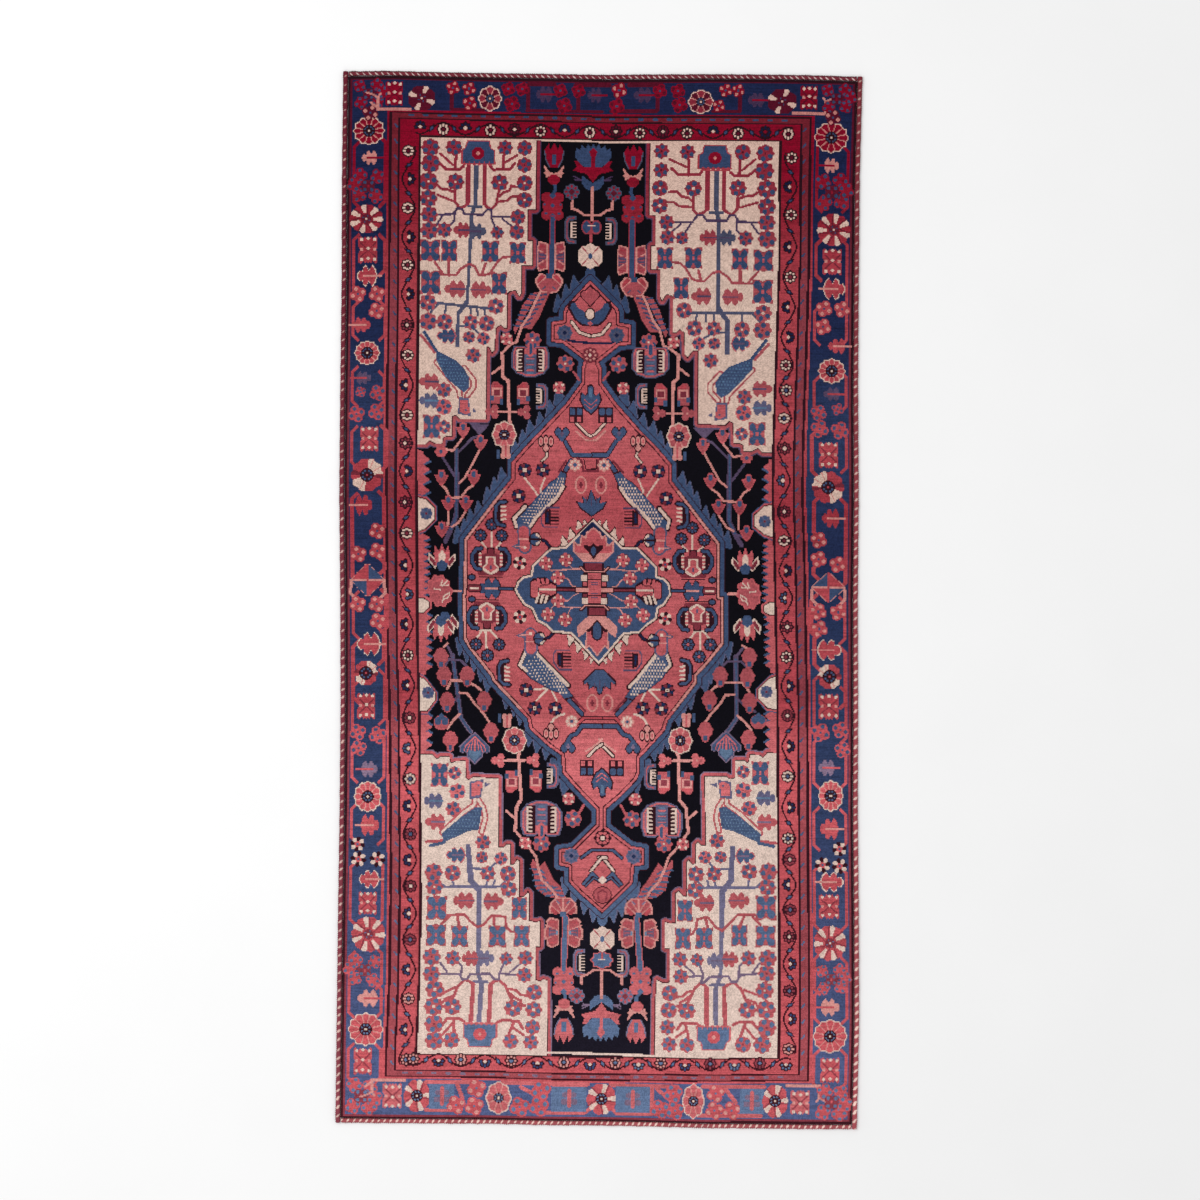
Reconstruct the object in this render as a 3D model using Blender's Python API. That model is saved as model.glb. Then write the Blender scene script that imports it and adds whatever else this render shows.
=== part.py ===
"""A hand-knotted village rug lying flat: the knotted body, two overcast side cords and two twined end cords.

Metres, +Z up, +Y towards the far end, which is at the top of the picture. The rug rests on z = 0, and
the middle of its box is at x = y = 0. Its edges are uneven, as hand work is: the tables give the
outer edge of the whole rug.
"""

import math

import bpy
import numpy as np

MM = 0.001

HALF_WIDTH = 792    # millimetres, to the widest points of the sides
HALF_LENGTH = 1587  # millimetres, to the furthest points of the ends

# The outer edge in millimetres at even steps: the sides from the far end to the near one, and the
# ends from the left side to the right one.
LEFT_EDGE = [-768, -772, -773, -777, -780, -777, -776, -779, -784, -788, -792]
RIGHT_EDGE = [792, 783, 780, 778, 780, 777, 778, 777, 780, 781, 774]
FAR_EDGE = [1585, 1587, 1583, 1580, 1578, 1575, 1576, 1577, 1576, 1574, 1569]
NEAR_EDGE = [-1567, -1569, -1570, -1571, -1575, -1576, -1579, -1584, -1585, -1587, -1587]

BODY_THICKNESS = 11   # foundation and pile together
SIDE_CORD_WIDTH = 17  # the outermost warps, bundled and overcast with wool
SIDE_CORD_HEIGHT = 11
END_CORD_WIDTH = 15   # the twining that holds the last row of knots
END_CORD_HEIGHT = 9
GAP = 0.3             # between the body and a cord
CORNER_GAP = 0.8      # between an end cord's end and the side cord it runs up to
STATIONS = 61         # points along a cord or along an edge of the body
CORD_SIDES = 14       # points round a cord
FLAT_LEVEL = 0.8      # a cord's oval is cut flat this share of its half height below the middle

RED_WOOL = (0.33, 0.03, 0.05)
WINE_WOOL = (0.17, 0.02, 0.03)


def side_edge(table, y):
    """Where a side lies at a place along the rug."""
    return np.interp(y, np.linspace(-HALF_LENGTH, HALF_LENGTH, len(table)), table[::-1])


def end_edge(table, x):
    """Where an end lies at a place across the rug."""
    return np.interp(x, np.linspace(-HALF_WIDTH, HALF_WIDTH, len(table)), table)


def side_line(table, side_inset, end_inset):
    """Points down one side, the far one first, inside the edge by the insets."""
    inward = -np.sign(table[0])
    corner = table[0] + inward * side_inset
    far = end_edge(FAR_EDGE, corner) - end_inset
    near = end_edge(NEAR_EDGE, table[-1] + inward * side_inset) + end_inset
    y = np.linspace(far, near, STATIONS)
    return np.column_stack([side_edge(table, y) + inward * side_inset, y])


def end_line(table, side_inset, end_inset):
    """Points along one end, the left one first, inside the edge by the insets."""
    inward = -np.sign(table[0])
    left = side_edge(LEFT_EDGE, table[0] + inward * end_inset) + side_inset
    right = side_edge(RIGHT_EDGE, table[-1] + inward * end_inset) - side_inset
    x = np.linspace(left, right, STATIONS)
    return np.column_stack([x, end_edge(table, x) + inward * end_inset])


def line_curve(name, points, closed, collection):
    """A curve of straight pieces through the points, which are in millimetres."""
    curve = bpy.data.curves.new(name, "CURVE")
    spline = curve.splines.new("POLY")
    spline.points.add(len(points) - 1)
    for knot, (x, y) in zip(spline.points, points):
        knot.co = (x * MM, y * MM, 0, 1)
    spline.use_cyclic_u = closed
    obj = bpy.data.objects.new(name, curve)
    collection.objects.link(obj)
    return obj


def give_wool(obj, color):
    material = bpy.data.materials.new(obj.name + "_wool")
    material.use_nodes = True
    shader = material.node_tree.nodes["Principled BSDF"]
    shader.inputs["Base Color"].default_value = (*color, 1)
    shader.inputs["Roughness"].default_value = 0.95
    obj.data.materials.append(material)


def add_body(name, collection):
    """The outline inside the cords, filled and given the rug's thickness."""
    side_inset = SIDE_CORD_WIDTH + GAP
    end_inset = END_CORD_WIDTH + GAP
    left = side_line(LEFT_EDGE, side_inset, end_inset)
    right = side_line(RIGHT_EDGE, side_inset, end_inset)
    far = end_line(FAR_EDGE, side_inset, end_inset)
    near = end_line(NEAR_EDGE, side_inset, end_inset)
    outline = np.concatenate([left[1:-1], near, right[-2:0:-1], far[::-1]])
    body = line_curve(name, outline, True, collection)
    body.data.dimensions = "2D"
    body.data.fill_mode = "BOTH"
    body.data.extrude = 0.5 * BODY_THICKNESS * MM
    body.location.z = 0.5 * BODY_THICKNESS * MM
    give_wool(body, RED_WOOL)


def add_profile(name, width, height, collection):
    """A cord's cross-section as a hidden helper: an oval with a flat underside."""
    half = height / (1 + FLAT_LEVEL)
    turn = [-2 * math.pi * k / CORD_SIDES for k in range(CORD_SIDES)]
    points = [(0.5 * width * math.cos(a), half * max(math.sin(a), -FLAT_LEVEL)) for a in turn]
    profile = line_curve(name, points, True, collection)
    profile.data.dimensions = "2D"
    profile.hide_render = True
    return profile, half * FLAT_LEVEL


def add_cord(name, points, width, height, collection):
    """The oval carried along the line, with its flat underside on z = 0."""
    cord = line_curve(name, points, False, collection)
    profile, underside = add_profile(name + "_profile", width, height, collection)
    cord.data.dimensions = "3D"
    cord.data.twist_mode = "Z_UP"
    cord.data.bevel_mode = "OBJECT"
    cord.data.bevel_object = profile
    cord.data.use_fill_caps = True
    cord.location.z = underside * MM
    give_wool(cord, WINE_WOOL)


for old in list(bpy.data.objects):
    bpy.data.objects.remove(old, do_unlink=True)
rug = bpy.data.collections.new("rug")
bpy.context.scene.collection.children.link(rug)

add_body("body", rug)
for cord_name, edge in (("left_side_cord", LEFT_EDGE), ("right_side_cord", RIGHT_EDGE)):
    middle = side_line(edge, 0.5 * SIDE_CORD_WIDTH, 0)
    add_cord(cord_name, middle, SIDE_CORD_WIDTH, SIDE_CORD_HEIGHT, rug)
for cord_name, edge in (("far_end_cord", FAR_EDGE), ("near_end_cord", NEAR_EDGE)):
    middle = end_line(edge, SIDE_CORD_WIDTH + CORNER_GAP, 0.5 * END_CORD_WIDTH)
    add_cord(cord_name, middle, END_CORD_WIDTH, END_CORD_HEIGHT, rug)
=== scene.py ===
"""A hand-knotted village rug: pile in two pieces, its woven back, overcast side cords and twined end cords.

The pattern is a knot chart, as a weaver keeps one. Each motif is drawn with a few strokes in counts of
knots, and the repeats are placed by tables. One knot is about 3 mm. The chart then becomes the pile's
faces, with a dye on each. The rug lies on z = 0 and its far end is at +y.
"""

import bpy
import numpy as np
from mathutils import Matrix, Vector


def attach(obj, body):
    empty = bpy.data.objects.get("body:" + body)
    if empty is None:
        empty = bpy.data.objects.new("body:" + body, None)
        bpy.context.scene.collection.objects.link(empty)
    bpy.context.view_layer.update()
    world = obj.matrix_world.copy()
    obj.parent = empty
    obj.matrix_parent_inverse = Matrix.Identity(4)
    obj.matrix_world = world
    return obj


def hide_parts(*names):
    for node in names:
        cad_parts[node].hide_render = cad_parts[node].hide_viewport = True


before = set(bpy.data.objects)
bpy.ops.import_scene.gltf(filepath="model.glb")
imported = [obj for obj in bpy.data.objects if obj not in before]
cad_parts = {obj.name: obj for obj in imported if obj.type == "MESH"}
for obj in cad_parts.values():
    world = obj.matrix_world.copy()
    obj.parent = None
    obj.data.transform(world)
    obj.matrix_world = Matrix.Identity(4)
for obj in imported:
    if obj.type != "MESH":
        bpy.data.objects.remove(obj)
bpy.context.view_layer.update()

MM = 0.001

# The outer edge of the whole rug in millimetres, at even steps: the sides from the far end to the
# near one, and the ends from the left side to the right one.
LEFT_EDGE = [-768, -772, -773, -777, -780, -777, -776, -779, -784, -788, -792]
RIGHT_EDGE = [792, 783, 780, 778, 780, 777, 778, 777, 780, 781, 774]
FAR_EDGE = [1585, 1587, 1583, 1580, 1578, 1575, 1576, 1577, 1576, 1574, 1569]
NEAR_EDGE = [-1567, -1569, -1570, -1571, -1575, -1576, -1579, -1584, -1585, -1587, -1587]
HALF_ACROSS = 259    # knots from the middle to the outer edge of a side cord
HALF_ALONG = 526     # and to the outer edge of an end cord

COLUMNS, ROWS = 508, 1042   # knots in the pile


# ---- the chart ----
DYE_COUNT = 16
(NIGHT, INK, NAVY, GROUND, BLUE, TRUNK, PLUM, CORAL,
    RED, BRICK, GUARD, WINE, ROSE, IVORY, CREAM, SKY) = range(DYE_COUNT)


def knots(points):
    """Points on the chart as an array. As text they are written a,b with a space between points."""
    if isinstance(points, str):
        points = [point.split(",") for point in points.split()]
    return np.array(points, float)


class Chart:
    """One dye number for each knot. a counts knots to the right and b towards the far end, from the
    middle."""

    def __init__(self):
        self.a = np.arange(COLUMNS) - 0.5 * (COLUMNS - 1)
        self.b = np.arange(ROWS) - 0.5 * (ROWS - 1)
        self.dye = np.full((ROWS, COLUMNS), NIGHT, np.uint8)

    def window(self, low, high, margin=1.0):
        """The knots inside a box, as two slices and the knots' places."""
        a0, a1 = np.searchsorted(self.a, (low[0] - margin, high[0] + margin))
        b0, b1 = np.searchsorted(self.b, (low[1] - margin, high[1] + margin))
        places = np.meshgrid(self.a[a0:a1], self.b[b0:b1])
        return (slice(b0, b1), slice(a0, a1)), places

    def lay(self, dye, area, inside):
        self.dye[area][inside] = dye

    def fill(self, dye, points):
        points = knots(points)
        area, (a, b) = self.window(points.min(0), points.max(0))
        self.lay(dye, area, in_polygon(a, b, points))

    def line(self, dye, points, width):
        points = knots(points)
        area, (a, b) = self.window(points.min(0), points.max(0), width)
        self.lay(dye, area, to_line(a, b, points) <= 0.5 * width)

    def oval(self, dye, middle, half_a, half_b):
        middle = np.asarray(middle, float)
        half = np.array([half_a, half_b])
        area, (a, b) = self.window(middle - half, middle + half)
        reach = ((a - middle[0]) / half_a) ** 2 + ((b - middle[1]) / half_b) ** 2
        self.lay(dye, area, reach <= 1)


def in_polygon(a, b, points):
    """Even-odd rule: how many edges a ray to the right crosses."""
    odd = np.zeros(a.shape, bool)
    for (a0, b0), (a1, b1) in zip(points, np.roll(points, -1, axis=0)):
        if b0 != b1:
            crossing = a0 + (b - b0) * (a1 - a0) / (b1 - b0)
            odd ^= ((b0 > b) != (b1 > b)) & (a < crossing)
    return odd


def to_line(a, b, points):
    """Distance to the nearest piece of a broken line."""
    nearest = np.full(a.shape, np.inf)
    for (a0, b0), (a1, b1) in zip(points[:-1], points[1:]):
        along = np.array([a1 - a0, b1 - b0])
        share = ((a - a0) * along[0] + (b - b0) * along[1]) / max(along @ along, 1e-9)
        share = np.clip(share, 0, 1)
        nearest = np.minimum(nearest, np.hypot(a - a0 - share * along[0], b - b0 - share * along[1]))
    return nearest


class Pen:
    """Draws shapes in coordinates of their own: place turns them into places on the chart.

    A pen made by at keeps the size of its shapes. It only mirrors them by flip, and if the pen is turned,
    up becomes right, as on the side borders.
    """

    def __init__(self, chart, place, flip=(1, 1), turned=False):
        self.chart = chart
        self.place = place
        self.flip = flip
        self.turned = turned

    def fill(self, dye, points):
        self.chart.fill(dye, self.place(knots(points)))

    def line(self, dye, points, width):
        self.chart.line(dye, self.place(knots(points)), width)

    def oval(self, dye, middle, half_a, half_b=None):
        self.chart.oval(dye, self.place(knots([middle]))[0], half_a, half_b or half_a)

    def dot(self, dye, half_a, half_b=None):
        self.oval(dye, (0, 0), half_a, half_b)

    def both(self, dye, half):
        """Fills an outline from its right half."""
        self.fill(dye, fold(half))

    def box(self, dye, low, high):
        self.fill(dye, [low, (high[0], low[1]), high, (low[0], high[1])])

    def at(self, middle, scale=1.0, mirror=1):
        """A pen with its origin at middle."""
        origin = self.place(knots([middle]))[0]

        def place(points):
            points = points * scale * (mirror, 1)
            return origin + (points[:, ::-1] if self.turned else points) * self.flip

        return Pen(self.chart, place, self.flip)

    def halves(self):
        """The pen's mirror image, left to right, and the pen itself."""
        def mirrored(side):
            return Pen(self.chart, lambda points: self.place(points * (side, 1)), self.flip)
        return [mirrored(-1), mirrored(1)]


def plain_pen(chart, way=(1, 1), middle=(0, 0)):
    """A pen whose shapes are only mirrored and moved."""
    return Pen(chart, lambda points: points * way + middle, way)


def fan(count, radius_a, radius_b=None, start=0.0):
    """Points evenly round an oval."""
    turn = start + np.arange(count) * 2 * np.pi / count
    return np.column_stack([radius_a * np.cos(turn), (radius_b or radius_a) * np.sin(turn)])


def scallop(radius_a, radius_b, lobes, depth, start=0.0, count=96):
    """A closed outline whose radius swells and shrinks once for each lobe."""
    turn = np.arange(count) * 2 * np.pi / count
    reach = 1 - depth * 0.5 * (1 - np.cos(lobes * (turn - start)))
    return np.column_stack([radius_a * reach * np.cos(turn), radius_b * reach * np.sin(turn)])


def fold(half, across=True):
    """An outline from its half: mirrored left to right, or up and down."""
    half = knots(half)
    return np.concatenate([half, half[::-1] * ((-1, 1) if across else (1, -1))])


# ---- places in the pattern ----
# Where the same point of the drawing lies in each quarter: far right, far left, near right, near left.
# Each place is knots from the middle, counted outwards.
LANDMARKS = knots("60,449,76.5,451,71,443,66,443 86,448,96,451,88.5,443,86,442.5 "
    "60,430,76.5,434,69,426,64.5,428 59,412,76,416,70,409,63.5,410.5 92.5,411.5,101,416,88,409,84,409.5 "
    "59,394.5,76,399,71,392,63,393 113.5,442,123,445,115,435,116.5,436 141,448,147,450.5,144,442,144.5,442 "
    "163.5,447,170.5,450,163,442,161.5,442.5 163,429.5,170,434,167,425,162,426 "
    "137,412,145,416,148,407.5,144,408.5 166,411.5,172,416,166.5,407,162.5,408.5 "
    "166,394,172,399,165,388,161.5,391.5 166,378,171,383,167,371,165,376 66,378,82.5,382,82,375,73,376 "
    "67,363,83.5,367,81,358,72,359 81.5,362,103,366,98,358,91,360 145,362,156,368,149,356,144,360 "
    "166.5,361.5,171,367,168,356,165,359 115,400,124.5,404,116,395,115,395 "
    "106.5,410,116,413.5,106,405,105.5,405 123,410,132.5,413.5,126,403,125,405 "
    "118,340,130.5,345,122,340,119,340 64.5,342,82.5,346,84,337,76,337 93,342,110,347,105,336,100,337.5 "
    "139.5,341,151,347,140,333,137.5,338 163,340,170,347,166,333.5,161,337 81,312,101,315,86,309,78.5,309 "
    "162.5,309,169.5,315,166.5,305,160.5,310 101,304,119,308.5,105,301,104,303 "
    "133,303.5,145,309,140,298.5,134,302.5 84,290,104,292.5,96,288.5,89,290.5 "
    "163,287.5,172,295,168,285,163,289 94.5,272,113,275,97,272.5,90,275 114,272,129,276,115,272,110,275 "
    "142,271,155,276,150,269.5,145,275 162.5,270.5,171.5,276,169,269.5,164,274.5 "
    "99,257,116,260,106,255.5,97,260 114.5,257,130.5,261,121.5,255,116,259 141,257,153,262,146,254,142,257 "
    "127.5,250,142,255,133.5,248,130,250 111,240,126,243,118,239,115,244 120,185,133,187,124,184,120,187 "
    "136,222,149,225,141,220,137,224 165,231,174,236,171,239,164,243 163,212,170,216,168,220,163,224 "
    "163,193,170,197,167,196,165,203 157.5,167,167,171,161,171,159,177 145,204,155,208,150,206.5,145,211 "
    "144,188,155,191,144,188.5,141,193.5 142,167,154.5,171,144,170,144,175 32,442,47,443,38,430,33.5,430 "
    "32,425,47,427,39,413,33.5,411 32,418,47,420,39,406,33.5,404.5 32,391,48,393,42,380,34,381 "
    "13,407,29,408,27,396,21,396 6,369,25,370,20,363,14,363 20,340,38,343,27,333,22,333 "
    "31,340,48,343,40,333,35,333 43,340,60,343,53,333,47,333 22,314,39,317,26,308,20,308 "
    "34,314,51,317,40,308,35,308 48,314,65,317,55,308,50,308 43,304,60,307,47,298,41,298 "
    "53,280,71,283,60,281,56,281 60,270,78,273,65,270,59.5,270 64,254,83,257,70,256,62,258 "
    "49,258,67,259,65,243,57,244 74,258,93,260,84,243,73,244 51,238,69,238,63,219,57,219 "
    "33,238,50,238,43,219,36,219 70,238,88,238,83,219,79,219 19,236,34,236,33,219,25.5,219 "
    "4,219,20,219,22,204,15,204 24,212,40,212,36.5,199,30,199 43,204,58,203,52,176,47,176 "
    "61.5,206,76,206,65,182,63,182 84,206,102,206,88,182,87,183 79,232,97,232,88,218,82,220 "
    "73.5,200,89,200,77,180,76,182 59,187,74,187,65,160,65,161 88,187,106,187,98,159,100,162 "
    "79.5,164,94.5,164,81,139.5,84.5,141.5 78,146,93,146,87,118,92,121 41,129,56,129.5,43.5,108,44,109 "
    "59,129,74,129,62,108,64.5,109 67,102,80,103,68,89.5,73,91 20,167,37,166,34,147,31,147 "
    "39,157,53,156,48,133,48,132 5,135,24,135,28,121.5,27.5,121.5 68,36,81,36,68,18,81,18 "
    "95,38,109,38,99,17,113,18 93,73,107,74,100,55.5,111.5,57 82,62,97,63,89,43.5,100,46 "
    "105,61,118,63,111,43.5,123,46 125,20,139.5,20,128,0,140.5,0 72,5,84,5,72,-5,84,-5 "
    "25,40,33,38,27,21,33,20 44,36,52,36,45,16,51,16 33,82,48,82,33,60,36,60 82,85,97,85,85,71,94,74 "
    "60,56,74,56,62,38,68,38 30,106,44,106,36,88,37,87 44,61,57,61,48,41,53,40 2,115,18,115,8,103,7,103 "
    "17,265,35,267,32,256,26,256").reshape(-1, 4, 2)

# The pattern's long axis, from the far end to the near one: (b, a).
AXIS = knots("-520,0.5 -450,3 -340,4 -200,4 -130,1 -60,0 -10,-3 20,-6 100,-7.5 200,-8.5 300,-10 345,-10 "
    "407,-8 460,-8 520,-8")


# ---- borders ----
PILE_EDGE = 253.3
END_EDGE = 520.5
FIELD_LINE = 179.05   # the middle of the black line round the field, where the sides don't drift
RIGHT_LINE = knots("-452,179.5 -380,179.5 -240,179 -150,178.5 -100,178 -50,177 10,176 50,175 100,173 "
    "150,173.5 180,174.5 240,176.5 280,177.5 340,179 458,178.5")
LEFT_LINE = knots("-452,179.3 -380,177 -300,176.5 -240,177.5 -150,179 -100,180 -50,181.5 150,181.8 "
    "250,181.5 458,181")
FAR_LIFT = knots("-180,2 -60,1.5 60,0.3 180,0")
NEAR_LIFT = knots("-180,0 0,2 180,-0.7")
FAR_DEPTHS = [0, 2.5, 3.5, 35.5, 37, 39, 43.3, 44.8, 60.5, 62]
NEAR_DEPTHS = [0, 2, 4, 39.5, 41.5, 43, 47.5, 49, 65.5, 67.5]
DEPTHS = [0, 2, 4.3, 41, 43.3, 46, 52.3, 54.6, 73, 75.5]
BANDS = [
    (2, INK), (4.3, WINE), (41, GROUND), (43.3, RED), (46, INK), (52.3, GUARD), (54.6, INK), (73, RED),
    (75.5, INK),
]


def along(table, place):
    """The value at a place, between those that the table gives at its places."""
    return np.interp(place, *table.T)


def border_depth(a, b):
    """How far in from the edge each knot lies, in the side borders' own widths."""
    line = np.where(a > 0, along(RIGHT_LINE, b), along(LEFT_LINE, b))
    drift = line - FIELD_LINE
    side = PILE_EDGE - abs(a)
    inner = side + drift
    share = np.clip((side - 4.3) / (36.7 - drift), 0, 1)
    across = np.where(side < 4.3, side, np.where(inner < 41, 4.3 + 36.7 * share, inner))
    end = END_EDGE - abs(b)
    far = np.interp(end + np.clip(end / 36, 0, 1) * along(FAR_LIFT, a), FAR_DEPTHS, DEPTHS)
    near = np.interp(end + np.clip(end / 40, 0, 1) * along(NEAR_LIFT, a), NEAR_DEPTHS, DEPTHS)
    beyond = np.maximum(end - 62, 0)
    return np.minimum(across, np.where(b > 0, far, near) + beyond)


def draw_bands(chart):
    """The borders' bands over the field, and each knot's depth in from the edge."""
    a, b = np.meshgrid(chart.a, chart.b)
    depth = border_depth(a, b)
    for limit, dye in reversed(BANDS):
        chart.dye[depth < limit] = dye
    return depth


# ---- minor border ----
def small_flower(pen, petal, heart, missing=()):
    """Eight petals in a dark ring, or fewer where the stem comes in."""
    for k, point in enumerate(fan(8, 4.1)):
        if k not in missing:
            pen.oval(INK, point, 2.5)
    pen.dot(INK, 3.0)
    if missing:
        pen.oval(RED, fan(8, 2.6)[missing[len(missing) // 2]], 2.4)
    for k, point in enumerate(fan(8, 4.1)):
        if k not in missing:
            pen.oval(petal, point, 1.3)
    pen.dot(heart, 1.6)


def spindle(pen, lean):
    """A small leaf on the vine, dark all round."""
    tip = np.array([2.6 * lean, 4.6])
    wide = np.array([2.3, -1.3 * lean])
    for dye, grow in ((INK, 1.0), (NAVY, 0.62), (BLUE, 0.45)):
        pen.fill(dye, [tip * grow, wide * grow, -tip * grow, -wide * grow])


MINOR = {
    "m": (WINE, CREAM), "i": (CREAM, WINE), "n": (NAVY, CREAM), "b": (BLUE, CREAM),
    "p": (ROSE, BLUE), "r": (WINE, BLUE), "o": (NAVY, RED), "q": (CREAM, BLUE),
}
MINOR_DEPTH, SIDE_BOW = 10.6, 6.6      # from the field's line to the vine's middle, and how far it bows
FAR_VINE, NEAR_VINE, END_BOW = 467.4, 461.8, 6.2


def by_turns(side, flowers):
    """Place along the border and kind of each flower, with the side that the vine passes it on."""
    rows = [flower.split() for flower in flowers.split(",")]
    return [(float(place), kind, side * (-1) ** k) for k, (place, kind) in enumerate(rows)]


RIGHT_MINOR = by_turns(-1, (
    "443 i, 414 n, 386 i, 354 n, 324 i, 294 n, 264 n, 236 i, 211 q, 183 q, 153 m, 121 b, 90 m, 61 i, 31 n, "
    "4 b, -25 m, -55 i, -84 n, -113.5 m, -144 n, -174 q, -205 n, -236 q, -257 m, -282 n, -307 r, -334 m, "
    "-361 n, -388 r, -416 n, -446 p"))
LEFT_MINOR = by_turns(-1, (
    "446 i, 418 n, 389 i, 360 n, 332 i, 303 n, 272 m, 242 i, 212 n, 182 i, 154 m, 126 n, 95 m, 64 i, 32 n, "
    "3 b, -27 n, -58 i, -88 n, -120.5 m, -151 b, -181.5 q, -208.5 n, -236.5 r, -262.5 n, -288.5 m, -316 n, "
    "-342 r, -372 n, -401 p, -432 n, -462 p"))
FAR_MINOR = by_turns(-1, (
    "-181 n, -158 i, -136 n, -111 i, -87 m, -61 i, -37 n, -12 i, 14 m, 38 i, 61 m, 85 i, 111 n, 136 i, "
    "163 o, 186 i"))
NEAR_MINOR = by_turns(1, (
    "-182 p, -157 n, -135 p, -111 n, -85 p, -59 n, -33 p, -7 n, 18 p, 41 b, 63 p, 87 n, 112 r, 136 b, "
    "161 r, 187 b"))


def minor_border(pen, flowers, middle, reach):
    """A vine that bows round each flower in turn. The pen runs along the border, outwards is up."""
    route = []
    flowers = sorted(flowers)
    for place, _, side in flowers:
        across = middle(place) + side * reach
        route += [(place - 4.5, across - side * 1.2), (place, across), (place + 4.5, across - side * 1.2)]
    pen.line(INK, route, 1.7)
    for (place, _, side), (following, _, _) in zip(flowers, flowers[1:]):
        halfway = 0.5 * (place + following)
        spindle(pen.at((halfway, middle(halfway))), -side)
    for place, code, side in flowers:
        petal, heart = MINOR[code]
        missing = () if code not in "nb" else ((5, 6, 7) if side < 0 else (1, 2, 3))
        small_flower(pen.at((place, middle(place) - side * 0.8)), petal, heart, missing)


def draw_minor(chart):
    """The minor border on all four sides."""
    for sign, line, flowers in ((1, RIGHT_LINE, RIGHT_MINOR), (-1, LEFT_LINE, LEFT_MINOR)):
        pen = Pen(chart, lambda points, sign=sign: points[:, ::-1] * (sign, 1), (sign, 1), turned=True)
        minor_border(pen, flowers, lambda b, line=line: MINOR_DEPTH + along(line, b), SIDE_BOW)
    ends = ((1, FAR_VINE, FAR_LIFT, FAR_MINOR), (-1, NEAR_VINE, NEAR_LIFT, NEAR_MINOR))
    for sign, base, lift, flowers in ends:
        def vine(a, base=base, lift=lift):
            return base + along(lift, a)
        minor_border(plain_pen(chart, (1, sign)), flowers, vine, END_BOW)


SIDE_FLECKS, END_FLECKS = 15.6, 14.3   # knots from one fleck to the next
GUARD_DEPTH = 23.9                     # from the field's line to the guard stripe's middle


def draw_guard(chart):
    """Small slanted flecks on the guard stripe."""
    for sign, line in ((1, RIGHT_LINE), (-1, LEFT_LINE)):
        for b in np.arange(-465, 472, SIDE_FLECKS):
            a = sign * (along(line, b) + GUARD_DEPTH)
            chart.line(BLUE, [(a - sign * 1.1, b - 1.6), (a + sign * 1.1, b + 1.4)], 1.8)
    for a in np.arange(-190, 195, END_FLECKS):
        b = 480 + along(FAR_LIFT, a) * 1.1
        chart.line(BLUE, [(a - 1.8, b), (a + 1.8, b)], 2.4)
        b = -475 - along(NEAR_LIFT, a) * 1.1
        chart.line(PLUM, [(a - 1.8, b), (a + 1.8, b)], 2.2)


# ---- main border motifs, each about its pen's origin ----
def four_ways(quarter):
    """A closed outline from its part in the upper right, mirrored both ways."""
    quarter = knots(quarter)
    back = quarter[::-1]
    return np.concatenate([quarter, back * (-1, 1), quarter * (-1, -1), back * (1, -1)])


def eye(pen, size, dots=8, ground=INK, heart=CREAM):
    """A flower's middle: dots round a heart."""
    pen.dot(ground, size)
    for point in fan(dots, 0.66 * size, start=0.4):
        pen.oval(BLUE, point, 0.17 * size)
    pen.dot(heart, 1.4)


def rosette(pen, half_a, half_b, petals=12, reds=(RED,), eye_size=6.3):
    """Petals set off by pale lines inside a pale rim."""
    pen.fill(CREAM, scallop(half_a, half_b, petals, 0.1))
    edge = scallop(half_a - 1.3, half_b - 1.3, petals, 0.1, count=8 * petals)
    for k in range(petals):
        petal = edge[np.arange(8 * k + 4, 8 * k + 13) % len(edge)]
        pen.fill(reds[k % len(reds)], [(0, 0), *petal])
    for point in edge[4::8]:
        pen.line(ROSE, [(0, 0), point], 1.1)
    eye(pen, eye_size)


def pinwheel(pen, half_a, half_b, blades=7, start=0.5, ground=RED, eye_size=5, dots=4):
    """A red wheel with short pale blades round an eye."""
    pen.fill(ground, scallop(half_a, half_b, blades, 0.12, start + np.pi / blades))
    for point in fan(blades, 1, start=start):
        tip, side = point * (half_a, half_b), np.array([-point[1], point[0]])
        pen.line(WINE, [0.3 * tip + 2.6 * side, 0.95 * tip + 3.6 * side], 1.1)
        pen.fill(CREAM, [0.4 * tip - 1.3 * side, 0.4 * tip + 1.3 * side, 0.92 * tip + 2.8 * side, tip,
            0.92 * tip - 2.8 * side])
    eye(pen, eye_size, dots, INK if dots > 4 else WINE)


def wheel(pen, half_a, half_b):
    """Pale and red quarters round a large dark eye."""
    edge = scallop(half_a, half_b, 10, 0.09, count=120)
    pen.fill(RED, edge)
    pen.fill(WINE, [(0, 0), *edge[:8]])
    pen.fill(WINE, [(0, 0), *edge[60:66]])
    for start, stop in ((32, 60), (93, 115)):
        pen.fill(CREAM, [(0, 0), *edge[start:stop]])
        for k in range(start + 6, stop - 4, 12):
            pen.line(ROSE, [0.4 * edge[k], edge[k]], 1.0)
    eye(pen, 6.8, heart=RED)


def floret(pen, size=8.5, petal=RED, dot=ROSE, heart=BLUE, turn=0.4):
    """Four round petals with a fleck in each."""
    for point in fan(4, 0.5 * size, start=turn + np.pi / 4):
        pen.oval(petal, point, 0.52 * size)
    for point in fan(4, 0.66 * size, start=turn + np.pi / 4):
        pen.oval(dot, point, 0.2 * size + 0.2)
    pen.dot(heart, 1.4)


def floret_of_eight(pen, size=7.4):
    """A small flower, its petals by turns coral, wine and pale."""
    for k, point in enumerate(fan(8, 0.62 * size, start=0.2)):
        pen.oval((CORAL, WINE)[k % 2], point, 0.34 * size)
    pen.dot(CORAL, 0.5 * size)
    for point in fan(4, 0.66 * size, start=0.9):
        pen.oval(CREAM, point, 0.2 * size)
    pen.dot(WINE, 1.2)


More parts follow.
